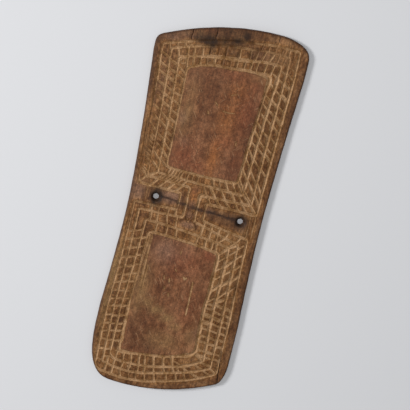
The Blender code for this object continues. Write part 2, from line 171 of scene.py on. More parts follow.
def outlinePath():
    # Counter-clockwise from the foot's left corner
    footLeft = roundedCorner(-1, footY, board["footLeftCorner"])[::-1]
    footRight = roundedCorner(1, footY, board["footRightCorner"])
    topRight = roundedCorner(1, topY, board["topRightCorner"])[::-1]
    topLeft = roundedCorner(-1, topY, board["topLeftCorner"])

    def end(acrossAt, first, last):
        stations = np.linspace(first.x, last.x, board["endSteps"])[1:-1]
        return [Vector((x, acrossAt(x))) for x in stations]

    def flank(side, first, last):
        stations = np.linspace(first.y, last.y, board["sideSteps"])[1:-1]
        return [Vector((edgeX(side, y), y)) for y in stations]

    points = [
        *footLeft, *end(footY, footLeft[-1], footRight[0]),
        *footRight, *flank(1, footRight[-1], topRight[0]),
        *topRight, *end(topY, topRight[-1], topLeft[0]),
        *topLeft, *flank(-1, topLeft[-1], footLeft[0]),
    ]
    path = resampled(points, board["step"], True)
    wander = board["rimWobble"] * (1 + waves(path, board["rimWaves"])) + board["rimClear"]
    return path + normalsOf(path, True) * wander[:, None]


# Lattice, in metres: rows from the edge inwards (plain border, outer, middle and inner row)
lattice = {
    "upperLeftRowsAtWaist": (0.0128, 0.0173, 0.0227, 0.0147),
    "upperLeftRowsAtTop": (0.0195, 0.0229, 0.0205, 0.0248),
    "upperRightRowsAtWaist": (0.0140, 0.0188, 0.0277, 0.0195),
    "upperRightRowsAtTop": (0.0230, 0.0208, 0.0142, 0.0170),
    "lowerLeftRowsAtWaist": (0.0140, 0.0140, 0.0225, 0.0120),
    "lowerLeftRowsAtFoot": (0.0200, 0.0165, 0.0125, 0.0200),
    "lowerRightRowsAtWaist": (0.0210, 0.0193, 0.0227, 0.0210),
    "lowerRightRowsAtFoot": (0.0225, 0.0175, 0.0230, 0.0210),
    "topRows": (0.0270, 0.0160, 0.0275, 0.0235),
    "footRowsAtLeft": (0.0120, 0.0200, 0.0190, 0.0260),
    "footRowsAtRight": (0.0300, 0.0170, 0.0200, 0.0230),
    "footRowsSpread": 1.6,
    # for the middle and the inner row: height at the left, at the right, and bow
    "upperPanelFoot": ((0.0735, 0.0620, 0.0), (0.0910, 0.0865, -0.0020)),
    "lowerPanelHead": ((-0.0430, -0.0690, 0.0045), (-0.0690, -0.0880, 0.0040)),
    # for the border and the outer row: top at the edge, top inside, x inside, foot inside, foot
    "leftWindow": ((0.0410, 0.0370, -0.0400, -0.0040, -0.0050),
                   (0.0610, 0.0550, -0.0220, -0.0195, -0.0200)),
    "rightWindow": ((0.0210, 0.0250, 0.0260, -0.0170, -0.0410),
                    (0.0415, 0.0420, 0.0065, -0.0230, -0.0580)),
    "corner": 0.004,
    "rimFootLeftCorner": 0.030,
    "middleFootLeftCorner": 0.016,
    "panelCorner": 0.011,
    "lowerPanelCorner": 0.026,
    "lineHalfWidth": 0.0024,
    "lineDepth": 0.0019,
    "strokeHalfWidth": 0.0021,
    "strokeDepth": 0.0016,
    "cornerSteps": 6,
    "bendStep": 0.03,                     # between the points that a ring is first laid through
    "share": (0.986, 0.997),              # the carver kept the pattern a little small,
    "shift": (-0.0020, 0.0039),           # up and to the left on the board
}

# Where a line strays from its course, in mm: station along the line, shift across it
strays = {
    ("top", 0): ((-158, 0), (-140, -2), (-110, -5), (0, -6), (62, -5.5), (94, -2), (154, 0)),
    ("top", 1): ((-122, 0), (-85, -1.6), (-60, -2.8), (-10, -2), (15, -4), (40, -6), (75, -3),
     (110, -3)),
    ("top", 2): ((-118, 4.5), (-100, 3), (-60, 0.7), (-40, 0), (-20, -1.9), (0, -4), (20, -5),
     (50, -4), (68, -1.2), (85, 0)),
    ("top", 3): ((-100, 0), (-70, 3.5), (-40, 3.7), (-20, 1.5), (0, -3), (44, -3), (66, -4.8),
     (79, -7)),
    ("foot", 0): ((-122, -1), (-88, -4.5), (-44, -4.5), (0, -3), (20, -1.5), (43, -2.4), (66, -4),
     (100, -5), (134, -5.5)),
    ("foot", 1): ((-128, 2), (-104, -1.5), (-66, -4.5), (-36, -3.3), (0, 0), (45, 1), (81, -1.6),
     (111, -2.5)),
    ("foot", 2): ((-104, 0), (-80, -3), (-20, -3.2), (0, -2.3), (43, -3), (73, -3), (94, 1)),
    ("foot", 3): ((-90, -5), (-66, -3), (-45, 0), (0, -1), (35, -1.5), (64, 0)),
    ("lowerRight", 2): ((-355, 2), (-320, 1), (-290, -1.5), (-260, -3), (-230, -3), (-180, 0),
     (-110, 2), (-80, 2)),
    ("lowerRight", 3): ((-330, 0), (-300, -3), (-270, -4), (-240, -5), (-210, -3), (-180, 1),
     (-120, 2), (-80, 3)),
}


class Line:
    # A carved line that runs along Y (a side) or along X (an end) between two stations
    def __init__(self, along, start, end, acrossAt):
        self.along = along
        self.start = start
        self.end = end
        self.acrossAt = acrossAt

    def point(self, station):
        across = self.acrossAt(station)
        return Vector((across, station) if self.along == "y" else (station, across))


def sideAt(side, insets):
    def across(y):
        return edgeX(side, y) - side * between(*insets, 2 * abs(y) / board["length"])
    return across


def topAt(inset):
    return lambda x: topY(x) - inset


def footAt(leftInset, rightInset):
    def across(x):
        share = max(x / board["footWidth"] + 0.5, 0.0)
        return footY(x) + between(leftInset, rightInset, share ** lattice["footRowsSpread"])
    return across


def strayed(across, zone, k):
    if (zone, k) not in strays:
        return across
    stations, shifts = zip(*strays[zone, k])
    return lambda station: across(station) + float(np.interp(station / mm, stations, shifts)) * mm


def bowed(first, last, bow):
    def across(x):
        share = (x - first.x) / (last.x - first.x)
        return between(first.y, last.y, share) + bow * 4 * share * (1 - share)
    return across


sideNames = {-1: "Left", 1: "Right"}


def rowsIn(name):
    return list(accumulate(lattice[name]))


def windowOf(name, k):
    return lattice[name.lower() + "Window"][k]


def latticeLines():
    # For each zone, its four lines from the edge inwards
    lines = {}
    for k in range(4):
        topLine = strayed(topAt(rowsIn("topRows")[k]), "top", k)
        footInsets = rowsIn("footRowsAtLeft")[k], rowsIn("footRowsAtRight")[k]
        footLine = strayed(footAt(*footInsets), "foot", k)
        for half, end, endZone, endLine, acrossZone, panelEnd in (
                ("upper", "Top", "top", topLine, "upperFoot", "upperPanelFoot"),
                ("lower", "Foot", "foot", footLine, "lowerHead", "lowerPanelHead")):
            inner, outer = {}, {}
            for side, name in sideNames.items():
                zone = half + name
                insets = rowsIn(zone + "RowsAtWaist")[k], rowsIn(zone + "RowsAt" + end)[k]
                across = strayed(sideAt(side, insets), zone, k)
                if k < 2:
                    height = windowOf(name, k)[0 if half == "upper" else -1]
                else:
                    height = lattice[panelEnd][k - 2][0 if side < 0 else 1]
                inner[side] = Vector((across(height), height))
                outer[side] = meetingPoint(across, endLine, side)
                lines[zone, k] = Line("y", height, outer[side].y, across)
            lines[endZone, k] = Line("x", outer[-1].x, outer[1].x, endLine)
            for side, name in sideNames.items():
                if k < 2:
                    _, topIn, x, footIn, _ = windowOf(name, k)
                    corner = Vector((x, topIn if half == "upper" else footIn))
                    line = Line("x", inner[side].x, x, bowed(inner[side], corner, 0.0))
                else:
                    bow = lattice[panelEnd][k - 2][2]
                    line = Line("x", inner[-1].x, inner[1].x, bowed(inner[-1], inner[1], bow))
                lines[acrossZone + name, k] = line
    return lines


def softened(path):
    # Rounds each corner of a closed path; a corner carries its cut, other points carry 0
    points = []
    for i, (here, cut) in enumerate(path):
        if cut == 0:
            points.append(here)
            continue
        before = path[i - 1][0] - here
        after = path[(i + 1) % len(path)][0] - here
        before = here + before.normalized() * min(cut, before.length / 2)
        after = here + after.normalized() * min(cut, after.length / 2)
        points += bent(before, here, after, lattice["cornerSteps"])
    return points


def pathAlong(runs):
    path = []
    for line, forward, cut in runs:
        steps = max(1, int(abs(line.end - line.start) / lattice["bendStep"]))
        stations = [between(line.start, line.end, i / steps) for i in range(steps + 1)]
        points = [line.point(station) for station in (stations if forward else stations[::-1])]
        path.append((points[0], cut))
        path += [(point, 0) for point in points[1:-1]]
    return softened(path)


def ringPaths(lines):
    # The closed lines: two round the whole lattice, two round each panel
    rings = {}
    corner = lattice["corner"]
    for k, ring, footLeftCut in ((0, "rim", lattice["rimFootLeftCorner"]), (1, "outerRow", corner)):
        legs = {}
        for name in sideNames.values():
            _, topIn, x, footIn, _ = windowOf(name, k)
            legs[name] = [
                (lines["upper" + name, k], False, corner),
                (lines["upperFoot" + name, k], True, corner),
                (Line("y", topIn, footIn, lambda y, x=x: x), True, corner),
                (lines["lowerHead" + name, k], False, corner),
                (lines["lower" + name, k], True, corner),
            ]
        rings[ring] = pathAlong([
            *legs["Left"],
            (lines["foot", k], True, footLeftCut),
            *[(line, not forward, cut) for line, forward, cut in legs["Right"][::-1]],
            (lines["top", k], False, corner),
        ])
    panelCorner = lattice["panelCorner"]
    for k, ring, cut, footLeftCut, footRightCut in (
            (2, "MiddleRow", corner, lattice["middleFootLeftCorner"], corner),
            (3, "Panel", panelCorner, panelCorner, lattice["lowerPanelCorner"])):
        rings["upper" + ring] = pathAlong([
            (lines["upperLeft", k], False, cut),
            (lines["upperFootLeft", k], True, cut),
            (lines["upperRight", k], True, cut),
            (lines["top", k], False, cut),
        ])
        rings["lower" + ring] = pathAlong([
            (lines["lowerLeft", k], True, cut),
            (lines["foot", k], True, footLeftCut),
            (lines["lowerRight", k], False, footRightCut),
            (lines["lowerHeadRight", k], False, cut),
        ])
    return {name: resampled(placedOnBoard(ring), board["step"], True)
            for name, ring in rings.items()}


def placedOnBoard(path):
    return np.array([tuple(p)[:2] for p in path]) * lattice["share"] + lattice["shift"]


# Cross strokes of the lattice, in mm: row, middles along the line, first and last slant, how pale.
# A slant is how much further along the stroke's outer end lies than its inner end.
strokeRuns = {
    "upperLeft": (
        (0, (348, 325, 306), 11, 9, 1), (0, (283, 265.5, 250), 9, 11, 0.7),
        (0, (226, 206, 181), 13, 24, 1),
        (0, (162, 153.5, 144.5, 135, 125, 115, 105.5, 96), 14, 14, 0.7), (0, (79.5, 71), 14, 22, 1),
        (1, (336, 316.5, 294, 274.5, 255.5, 236.5), 10, 11, 1), (1, (210.5, 191.5), 18, 16.5, 1),
        (1, (163, 140, 116), 19, 24, 0.8), (1, (95,), 21, 21, 1), (2, (323, 305), 15, 12, 1),
        (2, (285,), 9, 9, 0.3), (2, (266,), 6, 6, 1), (2, (247, 224, 204), 12, 11, 1),
        (2, (188, 171, 157), 12, 14, 0.5), (2, (142, 122), 18, 20, 0.9), (2, (103,), 18, 18, 0.5),
    ),
    "upperRight": (
        (0, (336,), -14, -14, 0.8), (0, (310.5, 282.5), -17, -12, 1),
        (0, (256.5, 234, 208.5), -18, -16, 1), (0, (181, 165, 128), -16.5, -18, 1),
        (0, (87.5, 61), -33, -28, 0.9), (1, (319, 292, 270, 248.5, 218), -12.5, -14.5, 1),
        (1, (192, 176.5), -17, -18, 1), (1, (144.5,), -23, -23, 0.9), (1, (113.5, 89), -35, -34, 1),
        (1, (63.5,), -27, -27, 0.9), (2, (331.5,), -18, -18, 1), (2, (302.5,), -11.5, -11.5, 1),
        (2, (280.5, 260, 234.5, 213.5), -16.5, -18, 1), (2, (190,), -13.5, -13.5, 1),
        (2, (166.5, 143, 115, 89), -24, -28, 0.95),
    ),
    "top": (
        (0, (-143.5, -126, -109.5, -97), -5, -2, 0.8), (0, (64, 80, 96, 112), 3, 1, 0.35),
        (0, (127.8,), 1, 1, 0.8), (0, (141,), 0, 0, 0.4), (1, (-100, -85.5, -67), -2, -4, 1),
        (1, (-50, -32, -14), -1, 0, 0.1), (1, (17.4,), -1, -1, 1), (1, (41.6, 56), -2, 4, 0.4),
        (1, (72.5, 91.2), 8, 10, 0.85), (1, (106.5, 122), 3, 4, 0.4),
        (2, (-97, -82.5, -68), -3, -3, 1), (2, (-53,), -2, -2, 0.35), (2, (-35.5,), -2, -2, 1),
        (2, (-17, 1), 0, 0, 0.25), (2, (16.4,), 0, 0, 1), (2, (33,), 1, 1, 0.3),
        (2, (48.8, 62.5, 82, 99), 1, 5, 1),
    ),
    "upperFootLeft": (
        (0, (-107, -89, -68, -48.5), -16, -16, 1),
        (1, (-98.5, -90.5, -83, -75, -67, -59, -52, -38.5), -12, -12, 0.75),
        (2, (-80, -72, -65, -57, -50), -6, -7, 0.9), (2, (-35.5, -23.5, -10), -2, 0, 0.5),
    ),
    "upperFootRight": (
        (0, (26.5,), 11.5, 11.5, 0.9), (0, (48.6, 72.5), 19, 21, 1), (0, (95, 113, 135), 16, 19, 1),
        (1, (12,), 12, 12, 0.5), (1, (31, 56.4, 80.5), 20, 16, 1), (1, (98, 115), 21, 23, 1),
        (2, (27, 43), 8, 10, 0.45), (2, (60, 78.4), 12.5, 15.6, 1),
    ),
    "lowerHeadLeft": (
        (0, (-101, -83.5, -60.6, -42), 0, -1, 0.85), (1, (-98, -82), -1, -2, 0.85),
        (1, (-59,), -7, -7, 1), (1, (-36,), -2, -2, 0.9), (2, (-79, -54, -31), 0, -2, 0.8),
    ),
    "lowerHeadRight": (
        (0, (29.5, 48.6, 67.5), 0, 0, 1), (1, (27.5, 48.3, 66), 0, 0, 1), (2, (22,), 3, 3, 1),
        (2, (43, 59.5, 71), 0, 0, 1),
    ),
    "lowerLeft": (
        (0, (-74, -93.5, -117, -139, -163.5, -182.5, -202, -223), -5, -5, 0.8),
        (0, (-244, -262.5, -285, -306, -326, -347, -371), -6, -2, 1),
        (1, (-68, -88, -111.5, -134, -158.5, -179, -197, -220.5), -8, -5, 1),
        (1, (-240, -259, -284.5, -304, -322.5, -346.5, -370), -4, -3, 1),
        (2, (-83, -104.5, -126, -150.5, -173, -193.5, -217.5), -6.5, -4, 1),
        (2, (-236.5, -255.5, -280.5, -302, -319.5, -345), -4, -3, 0.95),
    ),
    "lowerRight": (
        (0, (-81, -108.5, -137), 16, 19, 1), (0, (-162,), 20, 20, 0.5), (0, (-183,), 5, 5, 0.7),
        (0, (-215, -232, -247.5, -260.5, -278, -294.5, -311.5, -331, -345), -4, -3, 0.95),
        (1, (-77, -101.5, -125, -153), 21, 18, 1), (1, (-181,), 25, 25, 1), (1, (-196,), 10, 10, 1),
        (1, (-210.5, -229, -243.5, -258.5, -276, -293.5, -308.5, -330, -344, -361), -7, -2, 0.95),
        (2, (-77, -95.5, -118.5, -141.5, -169, -198), 19, 17, 1), (2, (-210, -221), -1, -1, 0.8),
        (2, (-239, -256.5, -272.5, -291.5, -305.5, -327.5, -341.5), -3, -3, 1),
    ),
    "foot": (
        (0, (-121.7, -105), -1.5, -2, 0.9), (0, (-84,), 4.5, 4.5, 1), (0, (-64, -46), 4, 2, 0.4),
        (0, (-25, -2.7, 26.3, 49.3, 69.5), 4, 9, 1), (1, (-120, -103.8), 0, 0, 0.9),
        (1, (-84,), -4, -4, 1), (1, (-66,), -2, -2, 0.5),
        (1, (-44.7, -29, -7, 17.5, 38.7, 50.6), 0.5, 9, 1), (2, (-101.5,), -1, -1, 0.8),
        (2, (-85, -65.7, -47, -33, -12), 3, 4, 1), (2, (11.5, 32.5), 6.5, 8, 1),
    ),
}

# Mitre strokes at the corners of neighbouring lines: zone, rows, at the line's end
mitres = (
    ("upperLeft", (0, 1), False),
    ("upperRight", (0, 2), False),
    ("lowerRight", (1, 2), False),
    ("foot", (0, 2), True),
)

# Single lines in mm: points, half width, depth, how pale
looseLines = (
    # windows
    (((133, 22), (133.4, -33)), 1.1, 0.6, 0.6), (((145.2, 24), (145.4, -36)), 1.2, 0.7, 0.6),
    (((-119.5, 40), (-119, 8)), 1.1, 0.5, 0.5), (((-31.5, 48), (-31.5, 15)), 0.8, 0.6, 0.05),
    (((93, -28.5), (84, -45.5), (71, -59), (69, -73)), 2.2, 1.5, 1),
    (((123.5, -35), (115, -47), (100, -61), (89, -73)), 2.2, 1.5, 1),
    (((134, -52), (123.5, -62.6), (116, -74)), 2, 1.4, 0.9),
    # left border: two dark grooves
    (((-152.5, 285), (-150.5, 220), (-148.5, 180), (-147.5, 150), (-146, 120), (-144.5, 90),
     (-142.5, 60)), 1.4, 1.3, 0),
    (((-155.5, 195), (-153.5, 160), (-151, 130), (-149.5, 100)), 1, 0.8, 0),
    (((-147, -20), (-147.5, -75)), 1, 0.8, 0),
    (((-131.5, 172), (-130.5, 140), (-128.5, 110), (-126.5, 92)), 1.3, 1.1, 0),
    # beside the lower panel
    (((-90, -72), (-94, -130), (-97.5, -190), (-101.8, -247)), 2.8, 0.9, 0.7),
    (((-84.5, -70), (-85.5, -140), (-85, -200)), 2.2, 0.9, 0.6),
    (((-78, -145), (-79.1, -207)), 1.2, 0.6, 0.5), (((-97, -130), (-97.5, -147)), 1.5, 1.1, 0),
    (((-98.5, -170), (-99.5, -190)), 1.2, 0.9, 0), (((-103, -197), (-104, -206)), 1.4, 1, 0),
    (((-104.5, -235), (-105, -262), (-104.5, -290)), 1.3, 1, 0),
    (((-104, -303), (-103.5, -342)), 1.1, 0.9, 0),
    (((-100, -245), (-99.5, -295), (-97, -345)), 2.6, 1, 0.9),
    (((36, -165), (37.5, -205), (38, -248)), 1.1, 0.4, 1),
    # top right corner, where the rows run on into each other
    (((103, 359), (117, 351)), 2.2, 1.5, 0.9), (((118, 350), (136, 338)), 2, 1.4, 0.9),
    (((137, 347), (151, 331)), 1.6, 1.1, 0.7), (((119, 371), (136, 361)), 1.7, 1.2, 0.8),
    (((139, 366), (153, 351)), 1.6, 1.1, 0.7), (((121, 388), (136, 380)), 1.6, 1.1, 0.7),
    (((140, 381), (152, 373)), 1.5, 1, 0.6), (((118, 404), (119, 420)), 1.6, 1.1, 0.4),
    (((138, 404), (155, 400)), 1.6, 1, 0.4),
    # top left corner
    (((-124, 371), (-120, 357), (-117, 346)), 2, 1.4, 0.9),
    (((-133, 309), (-130, 315), (-123, 317), (-116, 312), (-114, 305), (-118, 298), (-125, 297),
     (-131, 302), (-133, 309)), 1.5, 1, 0.9),
    (((-113, 341), (-111, 348), (-105, 350), (-100, 346), (-101, 339), (-107, 336), (-113, 341)),
     1.3, 0.9, 0.7),
    (((-156, 353), (-140, 344), (-122, 332)), 1.9, 1.3, 0.9),
    (((-46, 392), (-28, 396), (-8, 399.5)), 1, 0.8, 0),
    (((-104, 386), (-101, 390), (-97, 388), (-97, 384), (-101, 382), (-104, 386)), 1.2, 0.8, 0.6),
    # foot left corner
    (((-98, -360), (-106, -370)), 1.9, 1.2, 0.8),
    (((-131.5, -389.5), (-119, -386.5)), 1.9, 1.3, 0.9),
    (((-147, -396), (-134, -400)), 1.8, 1.2, 0.8),
    (((-66, -398), (-62, -402), (-66, -406), (-70, -402), (-66, -398)), 1.2, 0.8, 0.8),
    # foot right, where the strokes cross into diamonds
    (((92, -357.5), (108, -359.5), (130, -361)), 2, 1.4, 1),
    (((86, -366), (98, -370.5), (108, -373)), 1.9, 1.3, 0.9),
    (((57, -376.5), (63, -381), (76, -385.5)), 1.8, 1.2, 0.9),
    (((63, -380), (70, -374.5), (80, -375)), 1.2, 0.8, 0.6),
    (((82, -388.5), (94, -393), (106, -396.5)), 2, 1.4, 1),
    (((112, -378), (123, -382.5), (133, -386)), 1.8, 1.2, 0.9),
    (((34, -366), (43, -369), (54, -373.5)), 1.7, 1.1, 0.8),
    (((98, -360), (106, -352), (108, -345)), 1.8, 1, 0.7),
    # waist: the small leaf and the arch below the worn line, cut thin and dark
    (((-24, 3), (-19, -5), (-12, -9), (-4, -5), (1, 3)), 1.2, 0.9, 0),
    (((-21, -5), (-16, -14), (-11, -21), (-5, -14), (-2, -5)), 1.2, 1, 0),
    (((-30, -25), (-22, -21), (-10, -19), (1, -20), (9, -25), (14, -37)), 1.3, 1, 0),
    (((-12, -17), (-9, -23)), 1.3, 0.5, 1), (((-24, -53), (-18, -61)), 1, 0.8, 0),
    (((-16, -52), (-10, -61)), 1, 0.8, 0), (((-8, -53), (-2, -62)), 1, 0.8, 0),
    (((1, -54), (6, -62)), 1, 0.8, 0),
    # pale knocks and scratches in the panels
    (((-20.5, -167), (-19.5, -176)), 1.7, 0.6, 1), (((-11, -142), (-8, -147)), 1.1, 0.5, 0.8),
    (((-8, -96), (-8, -104)), 1.1, 0.5, 0.7), (((-34, -163), (-33, -172)), 1.1, 0.4, 0.7),
    (((-28, -189), (-27, -196)), 1, 0.4, 0.6), (((-15.5, -203), (-13.5, -211)), 1, 0.4, 0.8),
    (((11, -157), (15, -162), (19, -157)), 2.2, 0.5, 1),
    (((8, 250.5), (22, 249), (37, 251)), 0.6, 0.3, 0.5), (((-24, 243), (-22, 236)), 1.2, 0.4, 0.8),
    (((-12, 268), (-5, 261)), 0.8, 0.3, 0.5), (((57, 187), (57, 178)), 0.9, 0.3, 0.6),
    (((20, 290), (33, 296)), 0.6, 0.3, 0.3),
)

# Where a line is cut broader than elsewhere, in mm: x, y, reach, times as wide
broadPlaces = (
    (96, 345, 20, 2.2), (96, 305, 22, 1.3), (152, 300, 60, 1.3), (147, 190, 60, 1.3),
    (96, 215, 50, 1.25), (120, 100, 60, 1.25), (60, 65, 50, 1.15), (125, -260, 60, 1.2),
    (90, -130, 50, 1.2), (80, -300, 50, 1.2), (20, -400, 70, 1.15), (80, -246, 50, 1.5),
    (82, -150, 50, 1.3), (102, -130, 60, 1.3), (72, -345, 28, 1.6), (-15, 371, 36, 1.7),
    (30, 377, 24, 1.4), (8, 32, 16, 1.7), (-92, -368, 14, 1.8),
)

# Where a line is worn away and its pale dust gone, in mm: x, y, reach across, reach along, share
wornAway = (
    (-80, 400, 24, 9, 0.95), (-40, 408, 32, 12, 1), (0, 415, 30, 14, 1), (36, 421, 22, 9, 0.9),
    (-30, 394, 24, 7, 0.9), (-4, 401, 14, 8, 0.9), (56, 407, 14, 7, 0.8), (105, 408, 24, 6, 0.5),
    (108, 424, 12, 5, 0.6), (-151, 205, 6, 75, 0.9), (-145, 105, 6, 60, 0.9),
    (-128, 140, 5, 45, 0.6), (-97, 285, 7, 34, 0.6), (-91, 175, 6, 45, 0.5),
    (-97, -160, 7, 70, 0.55), (-144, -40, 6, 50, 0.6), (95, 278, 5, 26, 0.7),
    (141, -165, 7, 36, 0.7), (147, -310, 5, 40, 0.5), (-124, 2, 20, 5, 0.5), (-41, 8, 4, 9, 0.8),
    (-134, 385, 26, 8, 0.3), (-161, 366, 8, 18, 0.6), (-10, 352, 30, 6, 0.5), (30, 12, 12, 8, 0.4),
    (5, 15, 5, 26, 0.35),
)

# How the blade's lines waver. A noise layer is its share, its size in metres and its seed,
# and each line has seeds of its own.
blade = {
    "sway": 0.0005,                       # how far a line leaves its course
    "swayLayers": ((1, 1 / 45, 0), (0.4, 1 / 150, 7)),
    "swell": 0.45,                        # by what share its width comes and goes
    "swellLayers": ((1, 1 / 60, 31),),
    "tip": 0.35,                          # how wide it still is at its very end
    "dusty": 0.2,                         # a paler line than this loses its dust where it is worn
    "keptWidth": 0.5,                     # and keeps this share of its width
    "vShare": 0.55,                       # the rest of its section is round
    "reach": 0.014,                       # how far from a cut its distance is measured
    "ringSeeds": (0, 3.0),                # first seed, and steps from line to line
    "strokeSeeds": (40, 1.7),
    "strokeStep": 2.6 * mm,               # between the points of a line
    "strokeTaper": 4 * mm,                # how long its thinner end is
    "loose": (3.0 * mm, 8 * mm, 700),     # step, taper and first seed
    "worn": (2.5 * mm, 12 * mm, 900),
    "slantSpread": 0.5,                   # in mm
    "overrun": (-0.3, 1.6),               # how far a stroke runs past its line, in mm
    "widthSpread": (0.8, 1.25),
    "depthSpread": (0.8, 1.15),
    "paleSpread": (0.8, 1.1),
    "seed": 11,
}


def nearSpot(points, x, y, across, along):
    # 1 in the middle of a soft spot in mm, less further out
    return np.exp(-((points[:, 0] / mm - x) / across) ** 2 - ((points[:, 1] / mm - y) / along) ** 2)


def handCut(path, halfWidth, depth, pale, closed, seed, taper=0.0):
    # A line as a blade leaves it: a little off course, now wider, now narrower
    def wavering(layers):
        return waves(path, [(share, size, size, seed + step) for share, size, step in layers])

    half = halfWidth * (1 + blade["swell"] * wavering(blade["swellLayers"]))
    if halfWidth >= lattice["lineHalfWidth"]:
        for x, y, reach, times in broadPlaces:
            away = (path[:, 0] / mm - x) ** 2 + (path[:, 1] / mm - y) ** 2
            half *= 1 + (times - 1) * np.exp(-away / reach ** 2)
    if taper > 0:
        run = np.concatenate([[0], np.cumsum(np.hypot(*np.diff(path, axis=0).T))])
        toEnd = np.minimum(run, run[-1] - run)
        half *= np.clip(blade["tip"] + (1 - blade["tip"]) * toEnd / taper, 0, 1)
    left = np.ones(len(path))
    if pale > blade["dusty"]:
        for x, y, across, along, share in wornAway:
            left *= 1 - share * nearSpot(path, x, y, across, along)
        half *= between(blade["keptWidth"], 1, left)
    sway = blade["sway"] * wavering(blade["swayLayers"])
    return {
        "path": path + normalsOf(path, closed) * sway[:, None],
        "half": half,
        "depth": depth * half / halfWidth,
        "pale": pale * left,
        "closed": closed,
    }


def latticeCuts(lines, rings):
    cuts = []
    seed, more = blade["ringSeeds"]
    for i, ring in enumerate(rings.values()):
        cuts.append(handCut(ring, lattice["lineHalfWidth"], lattice["lineDepth"], 1.0, True,
                            seed + more * i))
    rng = np.random.default_rng(blade["seed"])
    strokes = []
    for zone, runs in strokeRuns.items():
        for row, middles, firstSlant, lastSlant, pale in runs:
            outer, inner = lines[zone, row], lines[zone, row + 1]
            axis = "xy".index(outer.along)
            for i, middle in enumerate(middles):
                slant = between(firstSlant, lastSlant, i / max(len(middles) - 1, 1))
                slant += rng.normal(0, blade["slantSpread"])
                station = (middle * mm - lattice["shift"][axis]) / lattice["share"][axis]
                strokes.append((outer.point(station + slant / 2 * mm),
                                inner.point(station - slant / 2 * mm), pale))
    for zone, rows, atEnd in mitres:
        for row in rows:
            outer, inner = lines[zone, row], lines[zone, row + 1]
            strokes.append((outer.point(outer.end if atEnd else outer.start),
                            inner.point(inner.end if atEnd else inner.start), 1.0))
    seed, more = blade["strokeSeeds"]
    for i, (first, last, pale) in enumerate(strokes):
        way = (last - first).normalized()
        over = rng.uniform(*blade["overrun"], 2) * mm
        course = placedOnBoard([first - way * over[0], last + way * over[1]])
        half = lattice["strokeHalfWidth"] * rng.uniform(*blade["widthSpread"])
        depth = lattice["strokeDepth"] * rng.uniform(*blade["depthSpread"])
        pale *= rng.uniform(*blade["paleSpread"])
        path = resampled(course, blade["strokeStep"], False)
        cuts.append(handCut(path, half, depth, pale, False, seed + more * i, blade["strokeTaper"]))
    return cuts


def freeCuts(rows, step, taper, seed):
    # Cuts along lines that follow no row of the lattice
    cuts = []
    for i, (points, half, depth, pale) in enumerate(rows):
        path = resampled([(x * mm, y * mm) for x, y in points], step, False)
        cuts.append(handCut(path, half * mm, depth * mm, pale, False, seed + i, taper))
    return cuts


def cutField(points, cuts):
    # For each point: how far outside the nearest cut's edge it is, how deep the cut there, how pale
    reach, chunk = blade["reach"], 10
    edge = np.full(len(points), reach)
    depth = np.zeros(len(points))
    pale = np.zeros(len(points))
    for cut in cuts:
        path, half, deep = cut["path"], cut["half"], cut["depth"]
        if cut["closed"]:
            path = np.vstack([path, path[:1]])
            half = np.append(half, half[0])
            deep = np.append(deep, deep[0])
        for start in range(0, len(path) - 1, chunk):
            stretch = path[start:start + chunk + 1]
            a, b = stretch[:-1], stretch[1:]
            low = np.minimum(a, b).min(0) - reach
            high = np.maximum(a, b).max(0) + reach
            near = np.flatnonzero(((points > low) & (points < high)).all(1))
            if len(near) == 0:
                continue
            along = b - a
            away = points[near][:, None, :] - a
            share = np.clip((away * along).sum(2) / np.maximum((along ** 2).sum(1), 1e-12), 0, 1)
            gap = np.hypot(*np.moveaxis(away - share[..., None] * along, 2, 0))
            i = np.arange(start, start + len(a))
            width = half[i] + (half[i + 1] - half[i]) * share
            off = gap - width
            best = off.argmin(1)
            pick = (np.arange(len(near)), best)
            signed = off[pick]
            inside = np.clip(-signed / np.maximum(width[pick], 1e-6), 0, 1)
            section = between(1 - (1 - inside) ** 2, inside, blade["vShare"])
            depth[near] = np.maximum(depth[near], deep[i[best]] * section)
            closer = signed < edge[near]
            edge[near[closer]] = signed[closer]
            pale[near[closer]] = cut["pale"][i[best[closer]]]
    return edge, depth, pale


# Lashing holes: a funnel in the face, a straight throat, a slight flare at the back
holes = {
    "places": ((-0.0955, 0.0190), (0.1124, 0.0020)),
    "radius": 0.0068,
    "mouthRadius": 0.0118,
    "funnelDepth": 0.0090,
    "lip": 0.0009,                        # how far the mouth's edge is worn down
    "lipReach": 0.0022,
    "backRadius": 0.0082,
    "backDepth": 0.0020,
    "sides": 32,
    "wallLoops": 1,                       # rings of points down the throat
    "wallReach": 0.010,                   # round a hole's middle, where its open edges are found
}

# The line that the lashing wore between the holes, and the drying cracks, in mm:
# points, half width, depth, how pale
wornLines = (
    (((-86, 24), (-60, 21), (-38, 17.5), (-15, 13.5), (2, 11.5), (25, 10.5), (60, 8), (102, 5)),
     1.3, 0.9, 1.0),
    (((-99.5, 433), (-99.5, 418), (-98.6, 410), (-99.8, 403), (-98.4, 395)), 0.9, 3.0, 1.0),
    (((-45.5, 443), (-45.2, 431), (-44, 421), (-45.6, 413), (-44, 406)), 0.9, 2.4, 1.0),
    (((98.9, 454), (99.3, 442), (98.3, 430)), 0.6, 1.6, 1.0),
    (((154, -404), (151, -390), (149, -371), (147.3, -352), (146.5, -334), (145, -318)),
     1.0, 2.4, 1.0),
)

# Small knocks in the face, in mm: x, y, reach across, reach along, depth
nicks = (
    (-23, 240, 2.0, 2.8, 0.7),
    (-21, 208, 1.5, 9.0, 0.4),
    (-61, -255, 1.3, 12.0, 0.4),
    (52, -295, 1.2, 9.0, 0.4),
    (-66, -402, 2.0, 2.0, 0.9),
)

